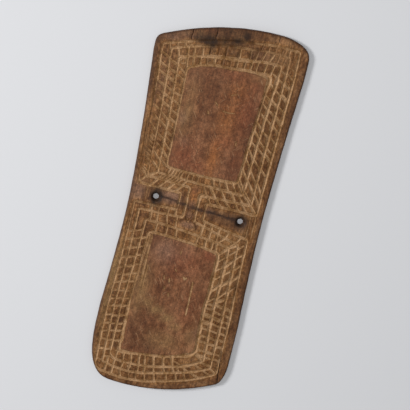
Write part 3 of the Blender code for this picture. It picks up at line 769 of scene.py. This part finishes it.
# Hollows of the face and the back, and the points that their mesh is made of, in metres
surface = {
    "pillow": 0.00035,                    # the soft shoulder of each cell beside a cut
    "pillowReach": 0.0020,
    "swell": 0.0007,                      # slow hollows left by the adze
    "swellWaves": ((1, 0.07, 0.16, 1.0), (0.5, 0.03, 0.07, 4.0)),
    "toolMark": 0.00022,
    "toolWaves": ((1, 0.010, 0.030, 9.0), (0.6, 0.005, 0.012, 14.0)),
    "backScoop": 0.0009,
    "scoopLevel": 0.35,
    "scoopWaves": ((1, 0.035, 0.060, 21.0), (0.5, 0.014, 0.030, 25.0)),
    # rows of points along a cut: share of its half width, and how far beyond
    "cutRows": ((0, 0), (1, 0), (0.55, 0), (1, 0.0013)),
    # rings of points: distance in from the rim, radius round a hole
    "rimRings": (0.0005, 0.0013, 0.0025, 0.0042),
    "holeRings": (0.0078, 0.0092, 0.0106, 0.0118, 0.0131, 0.0150),
    "backRimRings": (0.0004, 0.0012, 0.0032),
    "backHoleRings": (0.0075, 0.0082),
    # fill between them: step, and what it keeps from the cuts, the rim and the hole's middle
    "fineStep": 0.0030,
    "fineFrom": 0.0022,
    "coarseStep": 0.0055,
    "coarseFrom": 0.0075,
    "clearOfRim": 0.0012,
    "clearOfHole": 0.0076,
    "backStep": 0.0080,
    "backClearOfRim": 0.0065,
    "backClearOfHole": 0.0110,
    "spread": (0.19, 0.46),               # half the width and length that the fill covers
    "rowShare": 0.866,                    # of a honeycomb's step lies between its rows
    "jitter": 0.22,
    "closest": 0.0008,                    # two points of the face are never closer
    "seed": 7,
    "smoothAngle": 50,
    # what counts as the face when it is painted: height, and turned up at least this much
    "faceAbove": 0.004,
    "faceTurn": -0.2,
    "panelEdge": (0.0005, 0.0030),        # where the panels' tone starts, how far it takes
}


def insidePath(points, path):
    # Crossing count of each point against a closed path
    inside = np.zeros(len(points), bool)
    x, y = points[:, 0], points[:, 1]
    for (x0, y0), (x1, y1) in zip(path, np.roll(path, -1, axis=0)):
        if y0 == y1:
            continue
        crosses = (y0 > y) != (y1 > y)
        inside ^= crosses & (x < (x1 - x0) * (y - y0) / (y1 - y0) + x0)
    return inside


def rounding(distance, radius):
    # How far a quarter-round edge falls at this distance in from the outline
    share = np.clip(1 - distance / radius, 0, 1)
    return radius * (1 - np.sqrt(1 - share ** 2))


def holeRadii(points):
    return np.min([np.hypot(points[:, 0] - x, points[:, 1] - y)
                   for x, y in holes["places"]], axis=0)


def faceHeights(points, cuts, worn, outline):
    edge, depth, _ = cutField(points, cuts)
    _, wornDepth, _ = cutField(points, worn)
    rimGap, _, _ = cutField(points, [outline])
    z = board["thickness"] - board["crown"] * (2 * points[:, 0] / board["topWidth"]) ** 2
    z -= surface["swell"] * (0.5 + 0.5 * waves(points, surface["swellWaves"]))
    z -= surface["toolMark"] * (1 + waves(points, surface["toolWaves"]))
    z -= surface["pillow"] * np.exp(-np.maximum(edge, 0) / surface["pillowReach"])
    carved = np.maximum(depth, wornDepth)
    for x, y, across, along, deep in nicks:
        carved = np.maximum(carved, deep * mm * nearSpot(points, x, y, across, along))
    z -= carved
    outside = holeRadii(points) - holes["mouthRadius"]
    funnel = np.clip(-outside / (holes["mouthRadius"] - holes["radius"]), 0, 1)
    lip = holes["lip"] * np.exp(-np.maximum(outside, 0) / holes["lipReach"])
    z -= funnel * holes["funnelDepth"] + lip * (1 - funnel)
    return z - rounding(rimGap, board["faceEdgeRound"])


def backHeights(points, outline):
    rimGap, _, _ = cutField(points, [outline])
    scoop = np.clip(between(surface["scoopLevel"], 1, waves(points, surface["scoopWaves"])), 0, 1)
    outside = holeRadii(points) - holes["backRadius"]
    flare = np.clip(-outside / (holes["backRadius"] - holes["radius"]), 0, 1)
    rise = surface["backScoop"] * scoop + flare * holes["backDepth"]
    return rise + rounding(rimGap, board["backEdgeRound"])


def spaced(groups, closest):
    # Keeps each point that has no earlier point closer than this
    cells = {}
    kept = []
    for points, gap in groups:
        for x, y in points:
            i, j = floor(x / closest), floor(y / closest)
            near = (cells.get((i + u, j + v)) for u in (-1, 0, 1) for v in (-1, 0, 1))
            if all(p is None or (p[0] - x) ** 2 + (p[1] - y) ** 2 >= gap * gap for p in near):
                cells[i, j] = (x, y)
                kept.append((x, y))
    return np.array(kept)


def circle(place, radius, sides):
    turns = np.arange(sides) * 2 * pi / sides
    return np.column_stack([place[0] + radius * np.cos(turns), place[1] + radius * np.sin(turns)])


def scattered(step, rng):
    # A jittered honeycomb of points over the whole board
    halfWidth, halfLength = surface["spread"]
    points = []
    for i, y in enumerate(np.arange(-halfLength, halfLength, step * surface["rowShare"])):
        x = np.arange(-halfWidth, halfWidth, step) + (step / 2 if i % 2 else 0)
        points.append(np.column_stack([x, np.full(len(x), y)]))
    points = np.vstack(points)
    return points + rng.uniform(-surface["jitter"], surface["jitter"], points.shape) * step


def triangulated(outline, throats, inner):
    # Triangles between the outline and the holes through all the points inside. The face has some
    # 370 hand-cut lines, and no primitive or modifier keeps an edge along each of them.
    points = np.vstack([outline, *throats, inner])
    edges = []
    start = 0
    for loop in (outline, *throats):
        count = len(loop)
        edges += [(start + i, start + (i + 1) % count) for i in range(count)]
        start += count
    corners = [Vector(p) for p in points]
    verts, _, faces, _, _, _ = delaunay_2d_cdt(corners, edges, [], 0, 1e-7, False)
    verts = np.array([(v.x, v.y) for v in verts])
    faces = np.array(faces)
    middles = verts[faces].mean(1)
    keep = insidePath(middles, outline)
    for throat in throats:
        keep &= ~insidePath(middles, throat)
    return verts, faces[keep]


def asCut(outlinePoints):
    # The outline as a line of no width, to measure the distance from the rim
    none = np.zeros(len(outlinePoints))
    return {"path": outlinePoints, "half": none, "depth": none, "pale": none, "closed": True}


def ringsOf(outlinePoints, gaps, radii):
    # Rings of points inside the rim and round the holes
    inward = normalsOf(outlinePoints, True)
    rims = [outlinePoints + inward * gap for gap in gaps]
    return rims + [circle(place, radius, holes["sides"])
                   for place in holes["places"] for radius in radii]


def clearOf(points, outline, rimGap, holeGap):
    # The points that keep away from the rim and the holes
    gap, _, _ = cutField(points, [outline])
    clear = (gap > rimGap) & (holeRadii(points) > holeGap)
    return points[clear & insidePath(points, outline["path"])]


def facePoints(cuts, worn, outline):
    # Rows of points along each cut, rings along the rim and the holes, and a fill between
    rng = np.random.default_rng(surface["seed"])
    rim = outline["path"]
    fixed = np.vstack([rim, *ringsOf(rim, surface["rimRings"], surface["holeRings"])])
    groups = []
    for share, beyond in surface["cutRows"]:
        rows = []
        for cut in (*worn, *cuts):
            aside = normalsOf(cut["path"], cut["closed"]) * (cut["half"] * share + beyond)[:, None]
            rows += [cut["path"] - aside, cut["path"] + aside]
        groups.append(np.vstack(rows))
    fine, coarse = scattered(surface["fineStep"], rng), scattered(surface["coarseStep"], rng)
    fineEdge, _, _ = cutField(fine, cuts)
    coarseEdge, _, _ = cutField(coarse, cuts)
    fine = fine[(fineEdge > surface["fineFrom"]) & (fineEdge < surface["coarseFrom"])]
    groups.append(np.vstack([fine, coarse[coarseEdge >= surface["coarseFrom"]]]))
    groups = [clearOf(points, outline, surface["clearOfRim"], surface["clearOfHole"])
              for points in groups]
    closest = surface["closest"]
    kept = spaced([(fixed, 0.0), *[(points, closest) for points in groups]], closest)
    return kept[len(rim):]


def boardMesh(cuts, worn, outline):
    throats = [circle(place, holes["radius"], holes["sides"]) for place in holes["places"]]
    rim = outline["path"]
    faceVerts, faceFaces = triangulated(rim, throats, facePoints(cuts, worn, outline))
    faceZ = faceHeights(faceVerts, cuts, worn, outline)
    print("face", len(faceVerts), "points", len(faceFaces), "triangles")

    fill = scattered(surface["backStep"], np.random.default_rng(surface["seed"] + 1))
    fill = clearOf(fill, outline, surface["backClearOfRim"], surface["backClearOfHole"])
    backRings = ringsOf(rim, surface["backRimRings"], surface["backHoleRings"])
    backVerts, backFaces = triangulated(rim, throats, np.vstack([*backRings, fill]))
    backZ = backHeights(backVerts, outline)

    verts = np.vstack([np.column_stack([faceVerts, faceZ]), np.column_stack([backVerts, backZ])])
    faces = np.vstack([faceFaces, backFaces[:, ::-1] + len(faceVerts)])
    mesh = bpy.data.meshes.new("carvedBoard")
    mesh.from_pydata(verts.tolist(), [], faces.tolist())
    mesh.update()
    return mesh


def bridge(piece, loops, place=None):
    # Joins the two open loops round a place, or all that are still open, with a wall
    mesh = piece.data
    bm = bmesh.new()
    bm.from_mesh(mesh)
    for part in (*bm.verts, *bm.edges, *bm.faces):
        part.select = False
    for edge in bm.edges:
        middle = (edge.verts[0].co + edge.verts[1].co) / 2
        near = place is None or (middle.xy - Vector(place)).length < holes["wallReach"]
        if edge.is_boundary and near:
            edge.select = True
            for vert in edge.verts:
                vert.select = True
    bm.to_mesh(mesh)
    bm.free()
    bpy.ops.object.mode_set(mode="EDIT")
    bpy.ops.mesh.select_mode(type="EDGE")
    bpy.ops.mesh.bridge_edge_loops(number_cuts=loops, interpolation="LINEAR")
    bpy.ops.object.mode_set(mode="OBJECT")


lines = latticeLines()
rings = ringPaths(lines)
outline = asCut(outlinePath())
cuts = latticeCuts(lines, rings) + freeCuts(looseLines, *blade["loose"])
worn = freeCuts(wornLines, *blade["worn"])
print("lattice laid out:", len(cuts), "cuts")

carvedBoard = bpy.data.objects.new("carvedBoard", boardMesh(cuts, worn, outline))
bpy.context.scene.collection.objects.link(carvedBoard)
bpy.context.view_layer.objects.active = carvedBoard
carvedBoard.select_set(True)
for place in holes["places"]:
    bridge(carvedBoard, holes["wallLoops"], place)
bridge(carvedBoard, board["wallLoops"])
bpy.ops.object.mode_set(mode="EDIT")
bpy.ops.mesh.select_all(action="SELECT")
bpy.ops.mesh.normals_make_consistent(inside=False)
bpy.ops.mesh.select_all(action="DESELECT")
bpy.ops.object.mode_set(mode="OBJECT")
bpy.ops.object.shade_smooth_by_angle(angle=radians(surface["smoothAngle"]))
check = bmesh.new()
check.from_mesh(carvedBoard.data)
openEdges = sum(1 for e in check.edges if not e.is_manifold)
triangles = sum(len(f.verts) - 2 for f in check.faces)
print("board", len(check.verts), "points", triangles, "triangles", openEdges, "open edges")
check.free()

# Soft patches on the face, in mm: x, y, reach across, reach along, how strong
patches = {
    "gloom": (
        (85, 4, 52, 13, 0.9), (45, 10, 16, 12, 0.6), (-172, 260, 7, 150, 0.9),
        (-150, 398, 26, 10, 0.7), (-90, 420, 60, 12, 0.8), (-20, 436, 80, 12, 0.9),
        (110, 446, 60, 5, 0.6), (160, -190, 9, 150, 0.6), (168, 200, 9, 150, 0.6),
        (64, 130, 24, 45, 0.6), (82, 215, 13, 70, 0.75), (-18, 305, 28, 30, 0.3),
        (-12, 225, 26, 30, 0.3), (-74, -308, 22, 34, 0.5), (-45, -345, 35, 13, 0.5),
        (-8, -56, 18, 7, 0.2), (-70, 322, 26, 22, 0.5), (66, 397, 24, 12, 0.6),
        (21, -13, 4, 6, 1.5), (14, -31, 4, 9, 1.2), (55, 402, 22, 10, 0.6), (75, 368, 6, 8, 0.8),
        (0, -440, 140, 8, 0.5), (150, -385, 20, 30, 0.5), (-125, -315, 4, 8, 1),
        (-122, -335, 4, 8, 1), (-111, -294, 6, 7, 1), (-108, -358, 9, 9, 1),
        (-112, -420, 10, 6, 0.7), (-119, -99, 8, 6, 0.6), (92, -190, 5, 6, 1),
        (75, -357, 5, 4, 0.9), (136, -152, 8, 16, 0.5),
    ),
    "red": (
        (66, 255, 24, 55, 0.7), (72, 322, 14, 18, 0.6), (20, 335, 34, 14, 0.4),
        (-55, 128, 30, 34, 0.7), (-22, 112, 18, 16, 0.6), (56, -95, 14, 14, 0.9),
        (66, 130, 24, 40, 0.5), (10, -122, 42, 30, 0.55), (-12, -150, 22, 20, 0.4),
        (-10, 50, 10, 16, 0.6), (40, -240, 20, 60, 0.3), (30, 180, 22, 22, 0.5),
        (-60, 428, 24, 9, 0.5),
    ),
    "glow": (
        (12, 140, 14, 44, 0.75), (14, 98, 12, 12, 0.5), (22, 232, 24, 48, 0.55),
        (34, 296, 22, 30, 0.4), (-10, 36, 13, 15, 0.6), (98, 345, 9, 20, 0.4),
    ),
    "mauve": (
        (-42, -104, 30, 28, 1), (-2, -104, 22, 22, 0.4), (-60, 27, 26, 14, 1.5),
        (-140, 28, 22, 24, 1), (-10, -7, 10, 8, 1), (-8, -29, 18, 9, 1), (-62, 160, 12, 12, 0.6),
        (-140, 300, 12, 60, 0.4), (-140, 392, 26, 10, 0.8), (-78, 215, 10, 16, 0.6),
        (76, -290, 10, 16, 0.6), (75, 392, 24, 14, 0.35), (-118, 403, 28, 9, 0.6),
        (30, 12, 8, 9, 0.8), (-8, 22, 10, 9, 0.8), (127, -2, 4, 6, 0.9),
    ),
    "olive": (
        (-72, 220, 18, 50, 0.75), (-72, 280, 18, 34, 0.5), (-82, -205, 20, 62, 1),
        (-62, -236, 20, 15, 1), (-34, -250, 20, 12, 1.2), (-6, -264, 20, 12, 1.2),
        (-154, -200, 10, 120, 1.2), (20, -282, 20, 12, 0.9), (0, -322, 46, 26, 0.8),
        (60, -300, 24, 34, 0.6), (-10, 40, 15, 22, 0.6), (78, 340, 18, 18, 0.5),
        (-125, -100, 8, 8, 0.6),
    ),
    # real stains at the top; round each hole, the lashing's dirt with painted shade of its funnel
    "stainAndHoleShade": (
        (-60, 402, 26, 11, 1.6), (-66, 405, 20, 6, 1.5), (-50, 393, 10, 6, 1.2),
        (-86, 402, 16, 7, 0.9), (-24, 425, 30, 12, 0.4), (24, 429, 10, 12, 1.2),
        (4, 414, 20, 11, 1), (-24, 411, 34, 14, 0.8), (-94.5, 20, 12.6, 17, 2.5),
        (112.4, 2, 13, 13, 2.5), (13, 384, 4, 10, 0.6),
    ),
    "smudge": (
        (-78, 22.5, 14, 2.4, 2.4), (-54, 20.5, 13, 2.4, 1.6), (-32, 16.5, 14, 3.2, 1.8),
        (-8, 12.8, 14, 3.4, 2), (14, 11, 14, 3.2, 2), (36, 9.8, 14, 2.8, 1.8),
        (60, 8, 14, 2.4, 1.6), (88, 6, 17, 2.6, 2.4),
    ),
    # where the carving is worn low and grey with handling
    "faint": (
        (-128, 225, 42, 130, 0.45), (-128, -190, 36, 150, 0.45), (-95, -36, 62, 38, 0.45),
        (-85, 68, 55, 22, 0.3), (128, 398, 34, 30, 0.7), (60, 405, 40, 20, 0.5),
    ),
    # where the cells are darker, and the painted shade beside their cuts is stronger
    "deep": (
        (122, 200, 38, 170, 1), (80, 50, 60, 34, 0.45), (115, -215, 40, 190, 1),
        (20, -398, 130, 34, 0.9), (60, 370, 55, 20, 0.7), (-85, 365, 45, 24, 1.1),
        (-120, -330, 34, 70, 0.3), (-140, 130, 16, 60, 0.6),
    ),
}


def paintBoard(piece, cuts, cracks, outline, panels):
    # Attributes that the wood material reads: distances in mm, shares from 0 to 1
    mesh = piece.data
    count = len(mesh.vertices)
    co, normal = np.zeros((count, 3)), np.zeros((count, 3))
    mesh.vertices.foreach_get("co", co.ravel())
    mesh.vertices.foreach_get("normal", normal.ravel())
    upper = (normal[:, 2] > surface["faceTurn"]) & (co[:, 2] > surface["faceAbove"])
    flat = co[:, :2]
    edge, _, pale = cutField(flat, cuts)
    crackEdge, _, _ = cutField(flat, cracks)
    rimEdge, _, _ = cutField(flat, [outline])
    onPanel = np.any([insidePath(flat, panel) for panel in panels], axis=0)
    start, soft = surface["panelEdge"]
    onPanel = onPanel * np.clip((edge + start) / soft, 0, 1)
    far = blade["reach"] / mm
    values = {
        "cutEdge": np.where(upper, edge / mm, far),
        "cutPale": np.where(upper, pale, 0.0),
        "wornEdge": np.where(upper, crackEdge / mm, far),
        "rimEdge": rimEdge / mm,
        "panel": np.where(upper, onPanel, 0.0),
        # walls and back: dark from handling, and painted shade on the walls
        "offFaceHandledAndShaded": np.where(upper, 0.0, 1.0),
    }
    for name, spots in patches.items():
        share = np.max([strength * nearSpot(flat, *spot) for *spot, strength in spots], axis=0)
        values[name] = np.where(upper, np.clip(share, 0, 1), 0.0)
    for name, value in values.items():
        layer = mesh.attributes.new(name, "FLOAT", "POINT")
        layer.data.foreach_set("value", value.astype(np.float32))


paintBoard(carvedBoard, cuts, worn[1:], outline, (rings["upperPanel"], rings["lowerPanel"]))
print("board painted")


def hexToLinear(text):
    channels = [int(text[i:i + 2], 16) / 255 for i in (1, 3, 5)]
    return (*[c / 12.92 if c <= 0.04045 else ((c + 0.055) / 1.055) ** 2.4 for c in channels], 1.0)


def addNode(tree, kind, settings=None, values=None, links=None):
    node = tree.nodes.new("ShaderNode" + kind)
    for name, value in (settings or {}).items():
        setattr(node, name, value)
    for socket, value in (values or {}).items():
        node.inputs[socket].default_value = value
    for socket, source in (links or {}).items():
        tree.links.new(source, node.inputs[socket])
    return next(output for output in node.outputs if output.enabled)


timber = {
    # dark, middle and light tone of each zone
    "border": ("#53321a", "#6f4a2c", "#8b6543"),
    "panel": ("#5c361f", "#734a2f", "#8c5f41"),
    "cell": ("#55300f", "#704822", "#8b623a"),
    "tonePlaces": (0.39, 0.50, 0.61),
    "broadShare": 0.4,                    # of the broad patches in a zone's tone
    # laid over the wood one after another: where, how strong, colour;
    # a tone has no colour and darkens or lightens, less so on the rubbed panels
    "layers": (
        # the cells' rubbed, paler centres, with a painted highlight on them
        ("rubbedAndHighlight", 0.35, "#98724e"),
        ("deepNow", 0.62, "#4a2a12"),
        ("oliveNow", 0.80, "#876842"),
        ("mauveNow", 0.70, "#866552"),
        ("redNow", 0.75, "#7e3f28"),
        ("glowNow", 0.75, "#a2612c"),
        ("gloomNow", 0.75, "#422818"),
        # painted shade on the cells' edges beside each cut
        ("paintedCutShade", 1.00, "#45260a"),
        ("speckTone", 0.30, None),
        ("grainTone", 0.40, None),
        ("hairLeftNow", 0.45, "#b08a66"),
        ("hairRightNow", 0.45, "#b08a66"),
        ("paleNow", 1.00, "#8b653b"),
        ("paleLight", 1.00, "#ad8965"),
        ("fleckTone", 0.00, None),
        ("smudgeNow", 0.90, "#35251e"),
        # stains, and painted shade round the holes
        ("stainAndHoleShadeNow", 0.95, "#1f140e"),
        ("crack", 0.90, "#2a180e"),
        ("rimShade", 0.75, "#3a2213"),
        # walls and back darkened: handling, and painted shade on the walls
        ("offFaceHandledAndShaded", 0.60, "#4b3220"),
        ("pores", 1.00, "#2a180c"),
    ),
    "fray": 0.85,                         # how ragged the colour's edge is beside a cut, in mm
    "crackFray": 0.5,                     # share of that beside a crack
    "blotchInCut": 0.5,                   # share of the blotches in a cut's tone, with the specks
    "specular": 0.22,
    "roughness": 0.50,
    "roughBlotch": 0.25,                  # more where the wood is dull
    "roughDust": 0.18,                    # and where dust lies in a cut
    "reliefSpeck": 0.45,
    "reliefFibre": 0.3,
    "reliefStrength": 0.7,
    "reliefHeight": 0.0008,
}

# Scale per metre, how many times as long one way, turn in degrees, detail, roughness
woodNoise = {
    "broad": (13, (1, 1.7, 1), 0, 4, 0.55),       # patches of 70 mm
    "blotch": (55, (1, 1.4, 1), 0, 5, 0.65),      # patches of 18 mm
    "speck": (170, (1, 1.4, 1), 0, 4, 0.70),      # 6 mm mottling
    "fleck": (520, (1, 1, 1), 0, 3, 0.60),        # 2 mm specks
    "grain": (230, (1, 16, 1), 0, 4, 0.60),       # 4 mm wide, 70 mm long
    "fibre": (900, (1, 16, 1), 0, 2, 0.55),       # 1 mm wide
    "pore": (480, (1, 6, 1), 0, 2, 0.55),         # 2 mm wide, 12 mm long
    "fray": (300, (1, 1, 1), 0, 4, 0.70),         # ragged edge of a cut, 3 mm
    "scratchLeft": (420, (1, 12, 1), 32, 2, 0.5),     # hair scratches are drawn 2 mm wide to show
    "scratchRight": (420, (1, 12, 1), -48, 2, 0.5),
}

# A smooth step of one value: source, from, to, lowest, highest
woodSteps = {
    "nearCut": ("cutEdge", 8, 5, 0, 1),
    "offPanel": ("panel", 0, 1, 1, 0),
    "inCell": ("edgeNow", 2, 3.8, 0, 1),
    "speckled": ("speck", 0.42, 0.62, 0, 1),
    # a band of painted shade just outside each cut, stronger where deep, broken by blotches
    "marginBand": ("edgeNow", 2.6, 1.2, 0, 1),
    "marginDeep": ("deep", 0, 1, 0.5, 1),
    "marginBroken": ("blotch", 0.30, 0.65, 0.35, 0.85),
    "crisp": ("faint", 0, 1, 1, 0.35),
    "tintBroken": ("blotch", 0.28, 0.66, 0.50, 1),
    "stainAndShadeBroken": ("blotch", 0.28, 0.66, 0.75, 1),
    "speckTone": ("speck", 0.34, 0.66, 0.70, 1.30),
    "grainTone": ("grain", 0.34, 0.66, 0.78, 1.22),
    "fleckTone": ("fleck", 0.34, 0.66, 0.72, 1.28),
    "cutBand": ("edgeNow", 1.4, 0, 0, 1),
    "cutBroken": ("blotch", 0.25, 0.55, 0.60, 0.95),
    "cutTone": ("speckBlotch", 0.38, 0.60, 0, 1),
    "crack": ("wornNow", 0.9, -0.6, 0, 1),
    "rimShade": ("rimEdge", 6.5, 0.5, 0, 1),
    "pores": ("pore", 0.62, 0.72, 0, 0.5),
    "hairLeft": ("scratchLeft", 0.64, 0.72, 0, 1),
    "hairRight": ("scratchRight", 0.66, 0.73, 0, 1),
}


def agedWood():
    # Old hand-carved hardwood: dark from handling and smoke, rubbed smooth on the high
    # places, with pale dust packed into the cuts. Shade beside the cuts, on the walls and round
    # the holes, and a highlight on the cells' rubbed centres, are painted into its colour
    material = bpy.data.materials.new("agedCarvedHardwood")
    material.use_nodes = True
    tree = material.node_tree
    shader = tree.nodes["Principled BSDF"]
    times = {"operation": "MULTIPLY", "use_clamp": True}
    blend = {"data_type": "RGBA"}
    tinge = {"data_type": "RGBA", "blend_type": "MULTIPLY"}

    made = {}
    for name in ("cutEdge", "cutPale", "wornEdge", "rimEdge", "panel", "offFaceHandledAndShaded", *patches):
        reader = addNode(tree, "Attribute", {"attribute_name": name})
        made[name] = reader.node.outputs["Fac"]
    place = addNode(tree, "TexCoord").node.outputs["Object"]
    for name, (scale, longer, turn, detail, rough) in woodNoise.items():
        turned = addNode(tree, "Mapping", {"vector_type": "TEXTURE"},
                         {"Scale": longer, "Rotation": (0, 0, radians(turn))}, {"Vector": place})
        made[name] = addNode(tree, "TexNoise", None,
                             {"Scale": scale, "Detail": detail, "Roughness": rough},
                             {"Vector": turned})
    frayed = addNode(tree, "MapRange", None,
                     {"To Min": -timber["fray"], "To Max": timber["fray"]}, {"Value": made["fray"]})
    made["edgeNow"] = addNode(tree, "Math", {"operation": "ADD"}, None,
                              {0: made["cutEdge"], 1: frayed})
    made["wornNow"] = addNode(tree, "Math", {"operation": "MULTIPLY_ADD"},
                              {1: timber["crackFray"]}, {0: frayed, 2: made["wornEdge"]})
    made["speckBlotch"] = addNode(tree, "Mix", {"data_type": "FLOAT"}, {0: timber["blotchInCut"]},
                                  {2: made["speck"], 3: made["blotch"]})
    for name, (source, low, high, least, most) in woodSteps.items():
        made[name] = addNode(tree, "MapRange", {"interpolation_type": "SMOOTHSTEP"},
                             {"From Min": low, "From Max": high, "To Min": least, "To Max": most},
                             {"Value": made[source]})
    products = {
        "inLattice": ("nearCut", "offPanel"),
        "cellNow": ("inCell", "inLattice"),
        # rubbed cell centres with a painted highlight
        "rubbedAndHighlight": ("cellNow", "speckled"),
        "deepCell": ("cellNow", "deep"),
        "deepNow": ("deepCell", "tintBroken"),
        "marginShare": ("marginBand", "marginBroken"),
        "marginHere": ("marginShare", "marginDeep"),
        "paintedCutShade": ("marginHere", "crisp"),
        "paleBand": ("cutBand", "cutPale"),
        "paleShare": ("paleBand", "cutBroken"),
        "paleNow": ("paleShare", "crisp"),
        "paleLight": ("paleNow", "cutTone"),
        "cellDark": ("inLattice", "crisp"),
        "hairLeftNow": ("hairLeft", "panel"),
        "hairRightNow": ("hairRight", "panel"),
        "stainAndHoleShadeNow": ("stainAndHoleShade", "stainAndShadeBroken"),
        **{name + "Now": (name, "tintBroken")
           for name in ("olive", "mauve", "red", "glow", "gloom", "smudge")},
    }
    for name, (first, second) in products.items():
        made[name] = addNode(tree, "Math", times, None, {0: made[first], 1: made[second]})

    # Three zones of wood, each from dark to light
    tone = addNode(tree, "Mix", {"data_type": "FLOAT"}, {0: timber["broadShare"]},
                   {2: made["blotch"], 3: made["broad"]})
    zones = {}
    for name in ("border", "panel", "cell"):
        zones[name] = addNode(tree, "ValToRGB", links={"Fac": tone})
        ramp = zones[name].node.color_ramp
        ramp.elements.new(0.5)
        for element, colour, at in zip(ramp.elements, timber[name], timber["tonePlaces"]):
            element.position = at
            element.color = hexToLinear(colour)
    wood = addNode(tree, "Mix", blend, None,
                   {0: made["panel"], 6: zones["border"], 7: zones["panel"]})
    wood = addNode(tree, "Mix", blend, None,
                   {0: made["cellDark"], 6: wood, 7: zones["cell"]})
    for name, strength, colour in timber["layers"]:
        if colour is None:
            even = addNode(tree, "Math", times, {1: strength}, {0: made["panel"]})
            tone = addNode(tree, "Mix", {"data_type": "FLOAT"}, {3: 1.0},
                           {0: even, 2: made[name]})
            wood = addNode(tree, "Mix", tinge, {0: 1.0}, {6: wood, 7: tone})
        else:
            much = addNode(tree, "Math", times, {1: strength}, {0: made[name]})
            wood = addNode(tree, "Mix", blend, {7: hexToLinear(colour)},
                           {0: much, 6: wood})
    tree.links.new(wood, shader.inputs["Base Color"])

    # Duller where it is blotched and where dust lies, and the grain as faint relief
    addOn = {"operation": "MULTIPLY_ADD"}
    shader.inputs["Specular IOR Level"].default_value = timber["specular"]
    rough = addNode(tree, "Math", addOn,
                    {1: timber["roughBlotch"], 2: timber["roughness"]}, {0: made["blotch"]})
    rough = addNode(tree, "Math", addOn, {1: timber["roughDust"]},
                    {0: made["paleNow"], 2: rough})
    tree.links.new(rough, shader.inputs["Roughness"])
    relief = addNode(tree, "Mix", {"data_type": "FLOAT"}, {0: timber["reliefSpeck"]},
                     {2: made["grain"], 3: made["speck"]})
    relief = addNode(tree, "Math", addOn, {1: timber["reliefFibre"]},
                     {0: made["fibre"], 2: relief})
    bump = addNode(tree, "Bump", None,
                   {"Strength": timber["reliefStrength"], "Distance": timber["reliefHeight"]},
                   {"Height": relief})
    tree.links.new(bump, shader.inputs["Normal"])
    return material


carvedBoard.data.materials.append(agedWood())
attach(carvedBoard, "root")
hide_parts("shield_board")
print("wood finished")

# Studio floor, in matte white emulsion paint, rolled on: even, with hardly any sheen
studio = {
    "floorSize": 9.0,
    "floorColour": "#dcdde0",
    "floorRoughness": 0.9,
    "floorSpecular": 0.1,
    "worldColour": "#ffffff",
    "worldStrength": 0.30,
    "keyPlace": (-6.0, 0.6, 3.7),         # low on the left, for the carving's relief and the shadow
    "keySize": 1.7,
    "keyPower": 380.0,
    "fillPlace": (-0.4, 0.6, 3.4),        # near the camera, so that light falls through the holes
    "fillSize": 0.8,
    "fillPower": 31.0,
}

bpy.ops.object.select_all(action="DESELECT")
bpy.ops.mesh.primitive_plane_add(size=studio["floorSize"], location=(0, 0, 0))
floorPlane = bpy.context.object
floorPlane.name = "studioFloor"
floorPaint = bpy.data.materials.new("matteWhiteFloor")
floorPaint.use_nodes = True
floorShader = floorPaint.node_tree.nodes["Principled BSDF"]
floorShader.inputs["Base Color"].default_value = hexToLinear(studio["floorColour"])
floorShader.inputs["Roughness"].default_value = studio["floorRoughness"]
floorShader.inputs["Specular IOR Level"].default_value = studio["floorSpecular"]
floorPlane.data.materials.append(floorPaint)

world = bpy.data.worlds.new("softRoom")
bpy.context.scene.world = world
world.use_nodes = True
background = world.node_tree.nodes["Background"]
background.inputs["Color"].default_value = hexToLinear(studio["worldColour"])
background.inputs["Strength"].default_value = studio["worldStrength"]


def softLight(name, place, size, power):
    light = bpy.data.lights.new(name, "AREA")
    light.shape = "DISK"
    light.size = size
    light.energy = power
    lamp = bpy.data.objects.new(name, light)
    lamp.location = place
    lamp.rotation_euler = (-Vector(place)).to_track_quat("-Z", "Y").to_euler()
    bpy.context.scene.collection.objects.link(lamp)


for name in ("key", "fill"):
    softLight(name + "Light", studio[name + "Place"], studio[name + "Size"], studio[name + "Power"])

# Camera: from the left and a little from the top end, turned so that the top leans right
lookout = {
    "fromLeft": 7.0,
    "fromTop": 11.8,
    "distance": 3.0,
    "target": (0.0208, 0.0248, 0.014),
    "roll": 13.66,
    "focalPixels": 1278,
    "imagePixels": 410,
    "sensorWidth": 36.0,
}

lean = (-tan(radians(lookout["fromLeft"])), tan(radians(lookout["fromTop"])), 1.0)
towards = Vector(lean).normalized()
right = (-towards).cross(Vector((0, 1, 0))).normalized()
up = right.cross(-towards)
turn = radians(lookout["roll"])
imageRight = right * cos(turn) + up * sin(turn)
imageUp = up * cos(turn) - right * sin(turn)
cameraData = bpy.data.cameras.new("camera")
cameraData.sensor_width = lookout["sensorWidth"]
cameraData.lens = lookout["sensorWidth"] * lookout["focalPixels"] / lookout["imagePixels"]
camera = bpy.data.objects.new("camera", cameraData)
spot = Vector(lookout["target"]) + towards * lookout["distance"]
turned = Matrix((imageRight, imageUp, towards)).transposed().to_4x4()
camera.matrix_world = Matrix.Translation(spot) @ turned
bpy.context.scene.collection.objects.link(camera)
bpy.context.scene.camera = camera
bpy.context.scene.view_settings.view_transform = "Standard"

print("scene ready")
